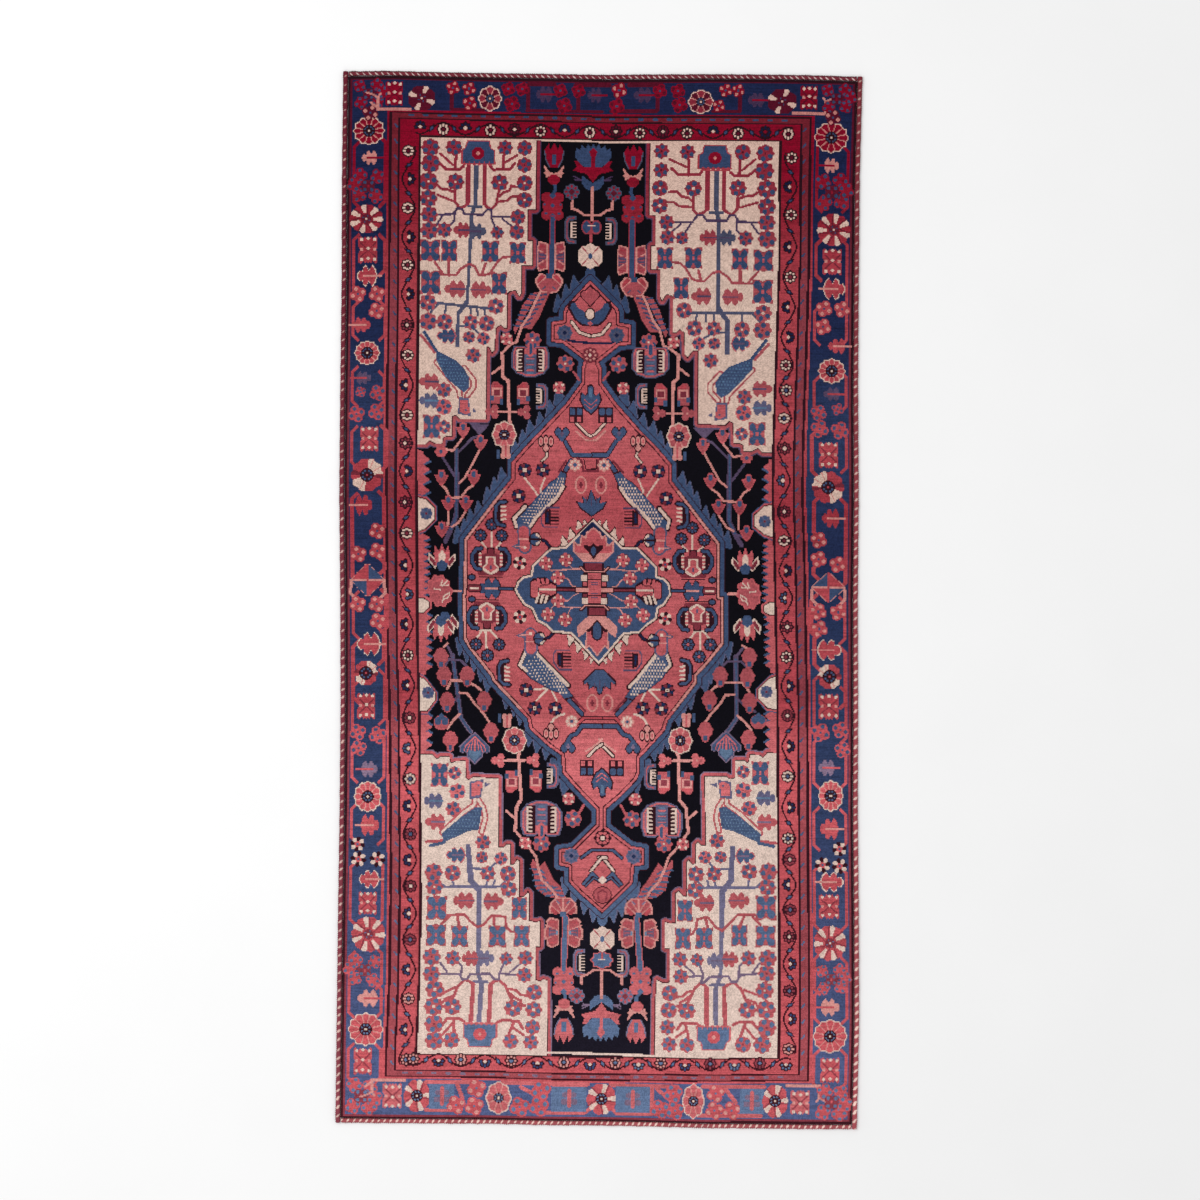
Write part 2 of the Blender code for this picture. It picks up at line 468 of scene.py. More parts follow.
def dusk_flower(pen):
    """Eight dusky petals with a blue dot in each."""
    size = 8.2
    pen.fill(TRUNK, scallop(size, size, 8, 0.14))
    for point in fan(8, 0.62 * size):
        pen.oval(BLUE, point, 1.5)
    pen.dot(NAVY, 2)


def chequer_floret(pen, size):
    """Petals by turns pale and dark."""
    pen.dot(RED, 0.8 * size)
    for k, point in enumerate(fan(8, 0.66 * size, start=0.2)):
        pen.oval(CREAM if k % 2 else INK, point, 0.3 * size)
    pen.dot(BLUE, 1.3)


BLOCK = four_ways("0.8,0 1,0.2 1,0.9 0.8,1 0.5,0.78 0.3,0.97 0.15,0.86 0,1")


def block_rosette(pen, half_a, half_b, ground=RED):
    """An upright flower with straight sides, three pale flecks in each of three rows and a dark cross."""
    pen.fill(ground, BLOCK * (half_a, half_b))
    for way in (1, -1):
        pen.line(WINE, [(-0.75 * half_a, way * 0.5 * half_b), (0.75 * half_a, -way * 0.5 * half_b)], 1.3)
    for across in (-0.68, 0, 0.68):
        for along_it in (0.76, 0.04, -0.68):
            dye = ROSE if across and along_it == 0.04 else CREAM
            pen.oval(dye, (across * half_a, (along_it + 0.06 - 0.1 * abs(across)) * half_b), 1.6)


CRAB = "-1,0.15 -0.8,0.7 -0.5,1 -0.18,0.48 0.1,0.98 0.42,0.8 0.46,0.42 0.78,0.5 1,0.15"
CRAB = fold(CRAB, across=False)


def crab_leaf(pen, half_a, half_b, dye=RED, rim=None, vein=ROSE, way=1, stem=0):
    """A leaf with two lobes on both edges. Its stem is at the low end of a, or at the high end if way is
    -1."""
    if rim is not None:
        pen.fill(rim, CRAB * (way * (half_a + 1.1), half_b + 1.1))
    pen.fill(dye, CRAB * (way * half_a, half_b))
    pen.line(vein, [(-way * (half_a + stem), 0), (way * 0.4 * half_a, 0)], 1.4)


LOZENGE = four_ways("1,0 0.62,0.45 0.3,0.78 0.12,1 0,0.94")


def quartered(pen, half_a, half_b):
    """A lozenge in four quarters, two blue and two red, with a pink edge and stems hanging from it."""
    for half in pen.halves():
        half.line(ROSE, knots("0.93,0 1,-0.8 0.6,-1.3") * (half_a, half_b), 3)
    pen.fill(ROSE, LOZENGE * (half_a, half_b))
    for way_a, way_b in ((-1, 1), (1, 1), (-1, -1), (1, -1)):
        quarter = [point for point in LOZENGE if point[0] * way_a >= 0 and point[1] * way_b >= 0]
        middle = np.array([way_a, way_b]) * 0.5
        quarter = sorted(quarter + [(0, 0)], key=lambda point: np.arctan2(*(point - middle)))
        pen.fill(RED if way_a == way_b else BLUE, np.array(quarter) * (half_a - 0.8, half_b - 0.8))
    pen.line(ROSE, [(-half_a, 0), (half_a, 0)], 1.2)
    pen.line(RED, [(0, -half_b), (0, half_b)], 1.0)


def spray(pen, half_a, half_b):
    """Blossoms crowded on crossing stems."""
    spots = knots("-0.6,0.62 0.55,0.7 -0.5,-0.7 0.62,-0.6 0,-0.02 0.95,0.1")
    for spot in spots:
        pen.line(WINE, [(0, 0), spot * (half_a, half_b)], 2.2)
    for k, spot in enumerate(spots):
        floret(pen.at(spot * (half_a, half_b)), 0.5 * half_b, (RED, WINE)[k == 4], BLUE, RED, 0.4 + 0.3 * k)


def panel(pen, half_a, half_b):
    """A blue ground with plum blots and a coral bar."""
    pen.box(BLUE, (-half_a, -half_b), (half_a, half_b))
    for half in pen.halves():
        half.oval(PLUM, (5, 3), 3.4, 3)
        half.oval(PLUM, (4, -4), 3.4, 2.6)
    pen.line(CORAL, "0,-9 0,8", 3)


def branch(pen):
    """A bar along the border's inner edge that turns outwards and forks."""
    for points, width in (("-17,0 16,0", 2.4), ("15.5,0 15.5,12", 2.6), ("15.5,12 21,15 27,17", 2.0),
            ("16,2 23,7", 2.0), ("15.5,12 13,16", 2.0)):
        pen.line(ROSE, points, width)


MOTIFS = {
    "rosette": rosette, "pinwheel": pinwheel, "wheel": wheel, "block": block_rosette, "quartered": quartered,
    "oval": lambda pen, a, b: rosette(pen, a, b, 8, (WINE, BRICK), 4.6),
    "tall": lambda pen, a, b: rosette(pen, a, b, 8, (CORAL,), 5.2),
    "four": lambda pen, a, b: pinwheel(pen, a, b, 4, 1.2, WINE),
    "five": lambda pen, a, b: pinwheel(pen, a, b, 5, 1.2, RED, 6, 8),
    "slim": lambda pen, a, b: block_rosette(pen, a, b, CORAL),
    "leaf": lambda pen, a, b: crab_leaf(pen, a, b, ROSE, vein=RED, stem=6),
    "maple": lambda pen, a, b: crab_leaf(pen, a, b, way=-1, stem=6),
    "rimmed": lambda pen, a, b: crab_leaf(pen, a, b, rim=CREAM, stem=6),
    "faint": lambda pen, a, b: crab_leaf(pen, a, b, PLUM, vein=RED, way=-1, stem=6),
    "floret": floret, "dotted": lambda pen, size: floret(pen, size, RED, BLUE, BLUE),
    "wild": lambda pen, size: floret(pen, size, RED, WINE, BLUE),
    "maroon": lambda pen, size: floret(pen, size, WINE),
    "chequer": chequer_floret, "spray": spray, "panel": panel, "branch": branch,
}

# The vine's stems in the border's ends.
FAR_STEMS = [
    "-47,515 -75,515", "-28,515 8,515", "25,515 60,515", "-75,488.5 0,488.5", "8,489 55,489 55,512",
    "-24,488 -24,512", "-74,489 -74,512", "-118,488.5 -150,488.5 -150,507", "110,488.5 137,488.5 137,506",
]
NEAR_STEMS = [
    "-169,-484 -119,-484", "-169,-512 -140,-512", "-94,-484 -44,-484", "-75,-488 -52,-500",
    "-54,-513 -12,-513 -4,-507", "-44,-484.5 -9,-484.5", "14,-484.5 80,-485", "14,-507 20,-513 55,-513",
    "60,-488 75,-500", "105,-484 166,-484", "101,-513 163,-513", "128,-487 138,-500", "-133,-500 -138,-486",
    "55,-485 55,-512",
]
# Place across a side border and the stretch of it that the vine runs along.
BARS = knots("215.8,395,455 246.5,395,450 215.8,326,357 246.5,300,357 214.5,262,290 246.5,262,290 "
    "214.5,196,220 246.5,196,225 212,131,166 246.5,135,165 214,70,100 246,20,98 214,28,34 212,-30,2 "
    "245.5,-36,0 246,-100,-50 215,-62,-36 214.7,-122,-78 246.5,-135,-90 246.5,-180,-150 214.5,-180,-140 "
    "214.5,-242,-210 246.5,-240,-212 246.5,-322,-270 214.5,-322,-268 214.5,-386,-356 246.5,-415,-360 "
    "214.5,-415,-392 214.5,-480,-452 246.5,-480,-452")


def draw_main(chart):
    """The main border: its vine, then the motifs of each side. Side motifs are mirrored on the left."""
    for stem in FAR_STEMS:
        chart.line(WINE, stem, 3)
    for stem in NEAR_STEMS:
        chart.line(CORAL, stem, 4)
    for sign in (1, -1):
        for a, low, high in BARS:
            inside = a + (5 if a < 230 else -5)
            bar = knots([(inside, low - 5), (a, low), (a, high), (inside, high + 5)])
            chart.line(RED, bar * (sign, 1), 3.2)
    for rows, flip in ((RIGHT_MAIN, (1, 1)), (LEFT_MAIN, (-1, 1)), (FAR_MAIN, (1, 1)), (NEAR_MAIN, (1, -1))):
        for row in rows.split(","):
            name, *sizes = row.split()
            a, b, *sizes = (float(size) for size in sizes)
            middle = (-a, b) if rows is LEFT_MAIN else (a, b)
            way = (np.sign(a), flip[1]) if name == "branch" else flip
            MOTIFS[name](plain_pen(chart, way, middle), *sizes)


# ---- main border ----
# Kind, place across and along the chart, and half sizes.
RIGHT_MAIN = (
    "rosette 229 464 17.5 16, leaf 230 436 7.5 8, spray 231 410 15 16, pinwheel 233 372 17 16.5, "
    "block 232 340 9.5 13.5, rimmed 234 313 10 10, floret 224 293 8.5, floret 242 293 8.5, "
    "floret 223 275 8.5, maple 237 256 8.5 8, rosette 232 231 14 13, faint 232 208 8 7, dotted 219 189 8, "
    "dotted 238 193 6, dotted 220 173 9, dotted 240 172 9, block 229 147 9.5 13.5, "
    "wheel 228 115 16.5 16.5, maple 231 84 8.5 10, floret 219 62 8.5, floret 219 43 8.5, "
    "floret 238 38 8.5, quartered 229 15 17 14.5, floret 219 -9.5 8.5, floret 239 -9.5 8.5, "
    "floret 220 -26.5 8.5, rimmed 230 -47.5 11 10, wheel 230 -74 12 13, block 229.5 -104 10 13, "
    "dotted 221 -130 9.5, dotted 241 -127 8.5, dotted 243 -147 8, faint 227 -165 8 9, "
    "rosette 231.5 -193 13 16, maple 230 -226 9 11, chequer 223 -262 8, chequer 240 -263 8, "
    "chequer 240 -246 7.5, rimmed 232 -279 10.5 9.5, block 229.5 -303.5 10 12.5, "
    "pinwheel 230 -340 16.5 18, spray 231 -376 15 13, leaf 230 -404 9.5 9, rosette 230 -433 17.5 17.5, "
    "block 231 -467 9.5 13")
LEFT_MAIN = (
    "rosette 232 466 16 14.5, leaf 231 439 7.5 7.5, spray 232 411 15 15, pinwheel 234 378 17 14.5, "
    "block 232 347 9.5 14, rimmed 233 321 9 10, floret 223 303 8.5, floret 242 303 8.5, "
    "floret 223 286 8.5, maple 237 272 8 8, rosette 232 244 13 12.5, faint 235 219 7.5 7, "
    "dotted 221 204 8, dotted 238 205 5.5, dotted 222 185 8.5, dotted 242 183 8.5, block 229 158 9 13, "
    "wheel 231 122 16.5 17, maple 234 92 8.5 11, floret 221 66 8.5, floret 221 46 8.5, floret 240 43 8.5, "
    "quartered 231 17 17.5 16, floret 222 -7 8.5, floret 241 -7 8.5, floret 221 -24 8.5, "
    "rimmed 230 -47 10.5 11, wheel 233 -76 12 13, block 232.5 -109 9 13.5, dotted 221 -138 9, "
    "dotted 241 -135 8.5, dotted 240 -151 8, faint 229 -172 8 9, rosette 230.5 -199.5 14 16, "
    "maple 228 -228 9 11, chequer 220 -262 8, chequer 239 -262 8, chequer 240 -247 7.5, "
    "rimmed 228 -282 9 8.5, block 229 -306 9 12, pinwheel 228 -337 17 18, spray 231 -373 16 14, "
    "leaf 228 -401 10 9, rosette 229.5 -432 18 17, block 232 -464 9 14")
FAR_MAIN = (
    "maroon -231 484 8, spray -233 503 15 13, branch -208 487.5, block -207 503 8.5 12.5, "
    "four -180 499 14 13, floret -149 510 7, floret -133 509.5 7, floret -132 495 7.5, "
    "oval -112 500 12 13, wild -94 510 7, wild -80 510 7, wild -90 495 8, faint -58 505 8 9, "
    "wild -42 509 7, wild -24 509 7, wild -38 494 8, faint -8 505 7 8, wild 14.5 494 8, floret 16.5 510 8, "
    "faint 40 505 9 8, wild 57 509 7.5, wild 75 509 7.5, wild 77 495 8, oval 98 498 13 12.5, "
    "floret 122.5 509.5 7, floret 135 509.5 6.5, floret 116 494 6.5, faint 153 500 8 8, "
    "four 179 499 15 13, block 206 503 8.5 12, branch 207 487.5, spray 233 503 15 13, maroon 230 484 8")
NEAR_MAIN = (
    "spray -233 -499 14 16, branch -207 -482.5, slim -202 -498 9.5 13, five -178 -498 13.5 16.5, "
    "panel -153 -498.5 12.5 12.5, floret -139 -507 9.7, floret -121 -508 9.7, floret -119 -490 9.7, "
    "tall -97 -499.5 13 17, dotted -76 -508 10.2, dotted -57 -507 10.2, dotted -55 -491 10.2, "
    "panel -27 -499 17.5 12.5, five 5 -499 15 16, panel 36 -499 17 13, dotted 63 -508 9.7, "
    "dotted 78 -509 9.7, dotted 76 -492 9.7, tall 96 -499 11.5 18, floret 117 -508 9.2, "
    "floret 134 -508 9.2, floret 118 -491 9.2, panel 154 -498.5 12 12.5, five 177 -498 13 17, "
    "slim 202 -499 9.5 12.5, branch 205 -482.5, spray 233 -499 14 16")


# ---- field ----
QUARTERS = ((1, 1), (-1, 1), (1, -1), (-1, -1))
AXIS_PAIRS = knots("445,430 385,372 345,339 321,314 286,280 245,240 200,182 160,145 130,113 95,82 60,48 "
    "10,-10")

FIELD_PAIRS = knots("450,445 380,375 300,297 230,233 160,162 100,100 40,35 -10,-15")


def axis_at(b):
    """Where the long axis lies across the rug."""
    return np.interp(b, AXIS[:, 0], AXIS[:, 1])


def axis_marks():
    """More landmarks, on the long axis and on the field's edge, so that the drawing stays put there."""
    rows = []
    for far, near in AXIS_PAIRS:
        a, c = axis_at(far), axis_at(-near)
        rows.append([(a, far), (-a, far), (c, near), (-c, near)])
    for far, near in FIELD_PAIRS:
        rows.append([(179, far), (182, far), (179.5, near), (179.5, near)])
    return np.array(rows, float)


MARKS = np.concatenate([LANDMARKS, axis_marks()])


def quarter_pen(chart, quarter, source=0):
    """A pen in the coordinates of the source quarter, drawing in another one with its points carried
    along."""
    home = MARKS[:, source]
    shift = MARKS[:, quarter] - home
    sign = np.array(QUARTERS[quarter])

    def place(points):
        gap = ((points[:, None] - home) ** 2).sum(-1)
        weight = 1 / (gap ** 2 + 0.01)
        return (points + weight @ shift / weight.sum(1)[:, None]) * sign

    return Pen(chart, place, sign)


def axis_pen(chart, way):
    """A pen in knots from the long axis. For the near half of the rug, way is -1."""
    def place(points):
        points = points * (1, way)
        return np.column_stack([points[:, 0] + axis_at(points[:, 1]), points[:, 1]])
    return Pen(chart, place, (1, way))


def lines(pen, table):
    """Strokes: dye, width and route. Two widths make a stroke with a dark rim, and the first is the rim's."""
    for dye, *widths, points in table:
        if len(widths) > 1:
            pen.line(INK, points, widths[0])
        pen.line(dye, points, widths[-1])


# ---- zones ----
IVORY_EDGES = [
    "49,475 49,385.5 55.5,385 55.5,354 51,354 51,331 60.5,331 60.5,303 62,299.5 66,306 72,305 73.5,303 "
        "73.5,268 76,268 80,271 85,268 85.5,246 88,243 93,250 99,250 99,177 126,176 130,180 134,178 "
        "134.5,158 140,158 144,156 144.5,150 152,150 158,153 163,149 190,149",
    "65,475 65,390 72.5,390 72.5,358 68,358 68,334 79,334 79,306 80.5,302.5 84,309 90,308 93,305 93,271 "
        "95,271 99,274 104,271 105,249 107,246 110,252 113,252 113,179.5 139,179.5 143,183.5 147,181.5 "
        "147,162 152.5,162 156,160 156.5,154.5 163,154.5 168.5,157.5 173,153.5 190,153.5",
    "56.5,475 57,400 58.5,379 64,382 70,382 71.5,379 71.5,347 66.5,347 66.5,321 70,322.5 76.5,322 77,318 "
        "77,292 80,290 84,295 88,295 88,261 90,259 93,263 97,262 97,243 99,241 103,244 107,244 106,175 "
        "126,174.5 131,177.5 136.5,176 136.5,159 145,159 148,161 150,160 151,153 160,153.5 164,156 168,151 "
        "190,150",
    "50,475 50.5,381 54,380 57,382 62,381 62.5,347 58,347 58,322 62,323 68.5,322 68.5,295 70,293 74,298 "
        "79,298 79,262 81,261 84,266 88,266 88,246 91,246 95,249 100,249 100.5,180 125,179 130,182 133,180 "
        "133.5,163 143,163.5 147,165.5 149,163 149.5,159 158,159 162,161.5 167,157 190,157",
]


def ivory_corner(chart, quarter):
    """The ivory ground of one corner, with its stepped edge in three dyes."""
    edge = knots(IVORY_EDGES[quarter]) * QUARTERS[quarter]
    corner = np.array([(190, 475)]) * QUARTERS[quarter]
    outline = np.concatenate([edge, corner])
    area, (a, b) = chart.window(outline.min(0), outline.max(0), 6)
    inside = in_polygon(a, b, outline)
    gap = to_line(a, b, edge)
    for dye, reach in ((PLUM, 4.9), (BRICK, 3.7), (INK, 0.8)):
        chart.lay(dye, area, ~inside & (gap < reach))
    chart.lay(IVORY, area, inside)


def sawteeth(pen, inner, tip, places, edge):
    """A red band along the field's edge, its inner side in teeth with a blue rim below each."""
    step = places[0] - places[1]
    for dye, reach, drop in ((BLUE, 1.4, 2), (CORAL, 0, 0)):
        rim = [(edge, places[0] + 10), (inner, places[0] + 8)]
        for b in places:
            hollow = inner - 0.5 * reach
            rim += [(hollow, b + 0.5 * step - drop), (tip - reach, b - drop),
                (hollow, b - 0.45 * step - drop)]
        rim += [(inner, places[-1] - 5), (edge, places[-1] - 5)]
        pen.fill(dye, rim)


HALF_HEXAGONS = [
    "172,96 165,95 155,86 155,75 165,67 172,65",
    "178,99 172,98 164,90 164,78 173,69 178,67",
    "176,107 168,106 159,96 159,88 170,77 176,75",
    "179,113 172,113 164,102 164,95 174,82 179,80",
]


def half_hexagon(pen, outline, edge, flower):
    """An ivory half hexagon on the field's edge, in three dark and coral rims, with a blossom in it."""
    outline = knots(outline)
    outer = np.array([(edge, outline[0][1] + 3), *outline, (edge, outline[-1][1] - 3)])
    middle = outer.mean(0)
    for dye, share in ((BLUE, 1.25), (CORAL, 1.18), (INK, 1.07), (IVORY, 1)):
        pen.fill(dye, middle + (outer - middle) * share)
    pom(pen.at(flower), 6.5, TRUNK)


MEDALLION = [
    "-10,321 18,293 20,288 20,278 32,276 32,255 20,254 0,238 3,232 3,218 18,197 40,172 57,155 73,136 "
        "73,120 90,98 121,58 121,5",
    "10,321 35,293 37,288 37,280 49,278 49,257 37,256 16,240 18,232 18,218 33,197 56,172 72,155 87.5,137 "
        "87.5,121 104,100 135,59 136,5",
    "4,314 34,284 35,280 36,266 46,265 46,247 33,245 8,226 8,209 22,197 38,180 41,173 41,158 51,147 66,130 "
        "69,120 98,82 98,75 110,62 125,43 125,-5",
    "-4,314 20,293 30,282 30,268 40,266 40,249 26,247 3,224 3,210 25,187 37,173 38,156 51,147 70,130 "
        "72,120 88,103 107,83 109,78 131,50 136,41 137,-5",
]
HEART_MEDALLION = [
    "-6,81 23,53.5 38,53 42,50 58,33 58,24 64,23 70,18 72,10",
    "6,81 33,53 47,52 51,49 67,33 68,24 75,23 81,18 84,10",
    "0,64 25,34 40,33 47,26 58,18 59,8 65,5 72,-6",
    "0,65 28,34 46,33 52,27 62,22 67,10 75,6 83,-6",
]


def whole_outline(parts):
    """The four quarters' outlines joined into one round the middle."""
    far_right, far_left, near_right, near_left = (knots(part) * way for part, way in zip(parts, QUARTERS))
    return np.concatenate([far_right, near_right[::-1], near_left, far_left[::-1]])


FLAME = knots("0,0 1.2,-4 0.8,-7 3,-13 -5.5,-9 -4.6,-6 -2.4,-3.4")
SPIKE = knots("0,3.4 1.6,-3 2.8,-8 3.6,-16 -10.4,-12 -7,-7.6 -3,-3")
TEETH = [
    "9,320 17,311 26,301 27,208 35,195 45,183 55,175 62,165 70,155 84,125 91,115 98,105 107,91 115,83 "
        "121,73 129,66",
    "27,320 35,311 43,301 42,208 50,195 60,183 70,175 77,165 85,155 98,127 105,117 112,107 121,93 129,85 "
        "135,75 142,68",
    "16,318 24,312 33,300 38,295 39,190 48,172 56,156 62,151 69,144 80,121 85,110 92,104 107,88 112,78 "
        "117,67 123,60 130,54",
    "6,318 15,310 25,300 34,291 36,192 45,172 54,156 63,150 71,143 80,122 86,113 94,106 113,90 119,79 "
        "126,69 133,60 140,53",
]


def medallion(chart):
    """The medallion's ground: slanting teeth round it, a blue band, and a coral and a pale line inside."""
    outline = whole_outline(MEDALLION)
    area, (a, b) = chart.window(outline.min(0), outline.max(0), 8)
    inside = in_polygon(a, b, outline)
    gap = to_line(a, b, np.concatenate([outline, outline[:1]]))
    for grow, dye in ((1.1, TRUNK), (0, BLUE)):
        for quarter, tips in enumerate(TEETH):
            for tip in knots(tips):
                flame = SPIKE * (1 + 0.14 * grow, 1) + (-0.6 + 0.4 * grow, 1.6 + grow)
                chart.fill(dye, (tip + flame) * QUARTERS[quarter])
    half = len(outline) // 2
    for corner, way in ((outline[0] + outline[-1], 1), (outline[half - 1] + outline[half], -1)):
        tip = knots("-11,-3 -5,4 -4.4,9 0,13 4.4,9 5,4 11,-3")
        chart.fill(BLUE, 0.5 * corner + tip * (1, way))
    chart.lay(INK, area, ~inside & (gap < 4.8))
    chart.lay(BLUE, area, ~inside & (gap < 4))
    chart.lay(CORAL, area, inside)
    chart.lay(INK, area, inside & (gap < 4.4))
    chart.lay(CORAL, area, inside & (gap < 3.4))
    chart.lay(ROSE, area, inside & (gap < 3.4) & (np.abs(b) < 110))
    chart.lay(INK, area, inside & (gap < 0.9))


FLAMES = [  # the tips of the pale flames along each quarter's edge
    "1,81 7.5,80 16,73 24,64", "15,81 21,80 29,72 36.5,64",
    "7,64.5 12.5,61.5 20.5,54.5 28,45.5", "8.5,64 14.5,60.5 22,53.5 30,47",
]


def heart_medallion(chart):
    """The small medallion: a blue ground, a pale line and pale flames on the slanting edges."""
    outline = whole_outline(HEART_MEDALLION)
    area, (a, b) = chart.window(outline.min(0), outline.max(0), 10)
    inside = in_polygon(a, b, outline)
    gap = to_line(a, b, np.concatenate([outline, outline[:1]]))
    for grow, dye in ((1.2, INK), (0, CREAM)):
        for quarter, way in enumerate(QUARTERS):
            for k, tip in enumerate(knots(FLAMES[quarter])):
                flame = plain_pen(chart).at(tip * way, (0.5, 0.8, 1, 1)[k])
                flame.fill(dye, FLAME * (1 + 0.12 * grow, 1) * way + (0, grow * way[1]))
    chart.lay(INK, area, ~inside & (gap < 1.1))
    chart.lay(BLUE, area, inside)
    chart.lay(CREAM, area, inside & (gap < 2.1))


# ---- corner motifs ----
def pom(pen, size, dye=BRICK, heart=False):
    """A round blossom of eight petals with four blue dots."""
    pen.fill(dye, scallop(size, size, 8, 0.14))
    for point in ((-0.54, 0.14), (0.12, 0.54), (0.52, -0.3), (-0.22, -0.56)):
        pen.oval(BLUE, (point[0] * size, point[1] * size), 0.2 * size + 0.6)
    pen.dot(CREAM if heart else WINE, 1.5 if heart else 1.1)


POMS = knots("60,449,8,0 86,448,8,0 60,430,8,0 59,412,8.5,1 92.5,411.5,9,1 59,394.5,8.5,1 66,378,8,0 "
    "141,448,8.5,0 163.5,447,9.5,0 163,429.5,10,0 137,412,9,1 166,411.5,10,1 166,394,9.5,1 166,378,9,0 "
    "67,363,8,0 81.5,362,6.8,0 145,362,8,0 166.5,361.5,9.5,0 84,290,8.5,1 163,287.5,9,1 94.5,272,8.5,1 "
    "114,272,8,1 142,271,8.5,1 162.5,270.5,9.5,0 99,257,7,0 114.5,257,6.5,0 111,240,8,0 145,204,8,0 "
    "144,188,8.5,0 142,167,7,1")
BOXES = knots("64.5,342,8.3,11 93,342,9,11 139.5,341,8.5,11 163,340,10.5,11 81,312,8,11.5 "
    "162.5,309,10.5,12.5 157.5,167,8.8,12")
BRANCHES = [  # dye, width, points
    (BRICK, 2.6, "68,441 85,433"), (BRICK, 3, "87.5,440 87.5,425"),
    (BRICK, 3, "70,432 77,425.5 98,425 101,429"), (BRICK, 3, "129,428 133,424.5 147,424.5 155,431"),
    (BRICK, 3.2, "138.5,440 138,425"), (BRICK, 2.6, "141,430 154,441"),
    (BRICK, 2.8, "68,408 76,409 80,404 88,402 92,398"), (BRICK, 2.6, "66,398 73,398 78,394 90,393"),
    (BRICK, 3, "93,403 92.5,390 97,385.5 104,388 106,391"),
    (BRICK, 2.8, "157,408 152,404.5 144,404 139,402"), (BRICK, 2.6, "157,398 147,395 140,393"),
    (BRICK, 3, "137,403 137,392 131,385.5 126,388 123,391"),
    (PLUM, 2.4, "93,380 97,385 102,385 106,379.5 126,379.5 129,385 134,385 138,378.5 158,378"),
    (PLUM, 2.2, "136,380 136,370 140,366"), (PLUM, 2.2, "151,376 158,367"),
    (PLUM, 2.2, "72,378 92,378"), (PLUM, 2.2, "90,376 84,367"), (PLUM, 2, "80,376 71,368"),
    (BRICK, 2.6, "73,338 80,337 86,331 92,321 100,318.8 104,319 112,327 118,329"),
    (BRICK, 2.6, "119,329 127,324 132,317.5 152,317"), (BRICK, 3, "101,319 98,330"),
    (BRICK, 3, "140,317 140,330"), (BRICK, 2.6, "148,318 158,329"),
    (TRUNK, 2.8, "90,287.5 156,287.5"), (TRUNK, 2.2, "106,287 106,279"), (TRUNK, 2.2, "114,287 114,280"),
    (TRUNK, 2.2, "142,287 142,279"), (TRUNK, 2.2, "152,287 160,279"), (TRUNK, 2.2, "97,287 96,280"),
    (TRUNK, 2.2, "104,262 114,268 126,268"),
]


def box_flower(pen, a, b):
    """An upright red blossom with four blue lobes that meet in its middle."""
    pen.fill(BRICK, fold("0,0.8 0.45,1 1,1 0.86,0 1,-1 0.5,-0.86 0,-1") * (a, b))
    for half in pen.halves():
        for way in (-1, 1):
            half.line(BLUE, [(0, 0), (0.5 * a, way * 0.56 * b)], 5.4)
            half.oval(BLUE, (0.52 * a, way * 0.56 * b), 0.36 * a, 0.34 * b)
        half.oval(CORAL, (0.66 * a, 0), 1.5)
    pen.box(CORAL, (-1.1, -1.6), (1.1, 1.6))
    pen.line(CORAL, [(0, 0.62 * b), (0, 0.4 * b)], 1.6)


def corner_tree(pen, quarter):
    """A tree with three rows of blossoms, a vase at its top, and leaves and box flowers on its branches."""
    pen.fill(TRUNK, "113,430 117.5,430 117.8,390 120.3,380 120.3,294 129.5,281 129.8,246 125.3,246 "
        "125.3,279 116,290 116,378 113,392")
    pen.box(TRUNK, (108.5, 386.5), (123.5, 389.5))
    for a in (106.5, 123.2):
        pen.line(BRICK, [(a, 430), (a, 391)], 4.4)
    lines(pen, BRANCHES)
    for a, b, size, heart in POMS:
        dye = CORAL if (a, b) in ((99, 257), (144, 188)) else BRICK
        pom(pen.at((a, b)), size, dye, heart)
    for a, b, half_a, half_b in BOXES:
        box_flower(pen.at((a, b)), half_a, half_b)
    vase(pen.at((113.5, 442)))
    first, second = (BRICK, TRUNK) if quarter == 0 else (TRUNK, BRICK)
    crab_leaf(pen.at((107.5, 362.5), mirror=-1), 8.5, 8.5, first, vein=PLUM)
    crab_leaf(pen.at((127.5, 362.5)), 8, 8.5, second, vein=PLUM)
    crab_leaf(pen.at((101, 304), mirror=-1), 10, 9, BRICK, vein=PLUM)
    crab_leaf(pen.at((133, 303.5)), 10.5, 9, BRICK, vein=PLUM)
    crab_leaf(pen.at((141, 257)), 8.5, 7, BLUE, rim=CORAL, vein=PLUM)
    crab_leaf(pen.at((163, 212)), 10, 8.5, BRICK, vein=PLUM)
    crab_leaf(pen.at((163, 193)), 9.5, 8, TRUNK, vein=SKY)


def vase(pen):
    """A blue vase with a notched foot and a round red flower on it."""
    outline = knots("-16,-10 -15.5,3 -12,5 -10.5,12 10,12 12,5 15,3 15.5,-10")
    pen.fill(CORAL, outline * (1.1, 1.08))
    pen.fill(BLUE, outline)
    for k in range(6):
        pen.fill(CORAL, [(-14 + 5 * k, -12.5), (-11.5 + 5 * k, -8), (-9 + 5 * k, -12.5)])
    pen.dot(RED, 6.2)
    pen.dot(ROSE, 1.6)


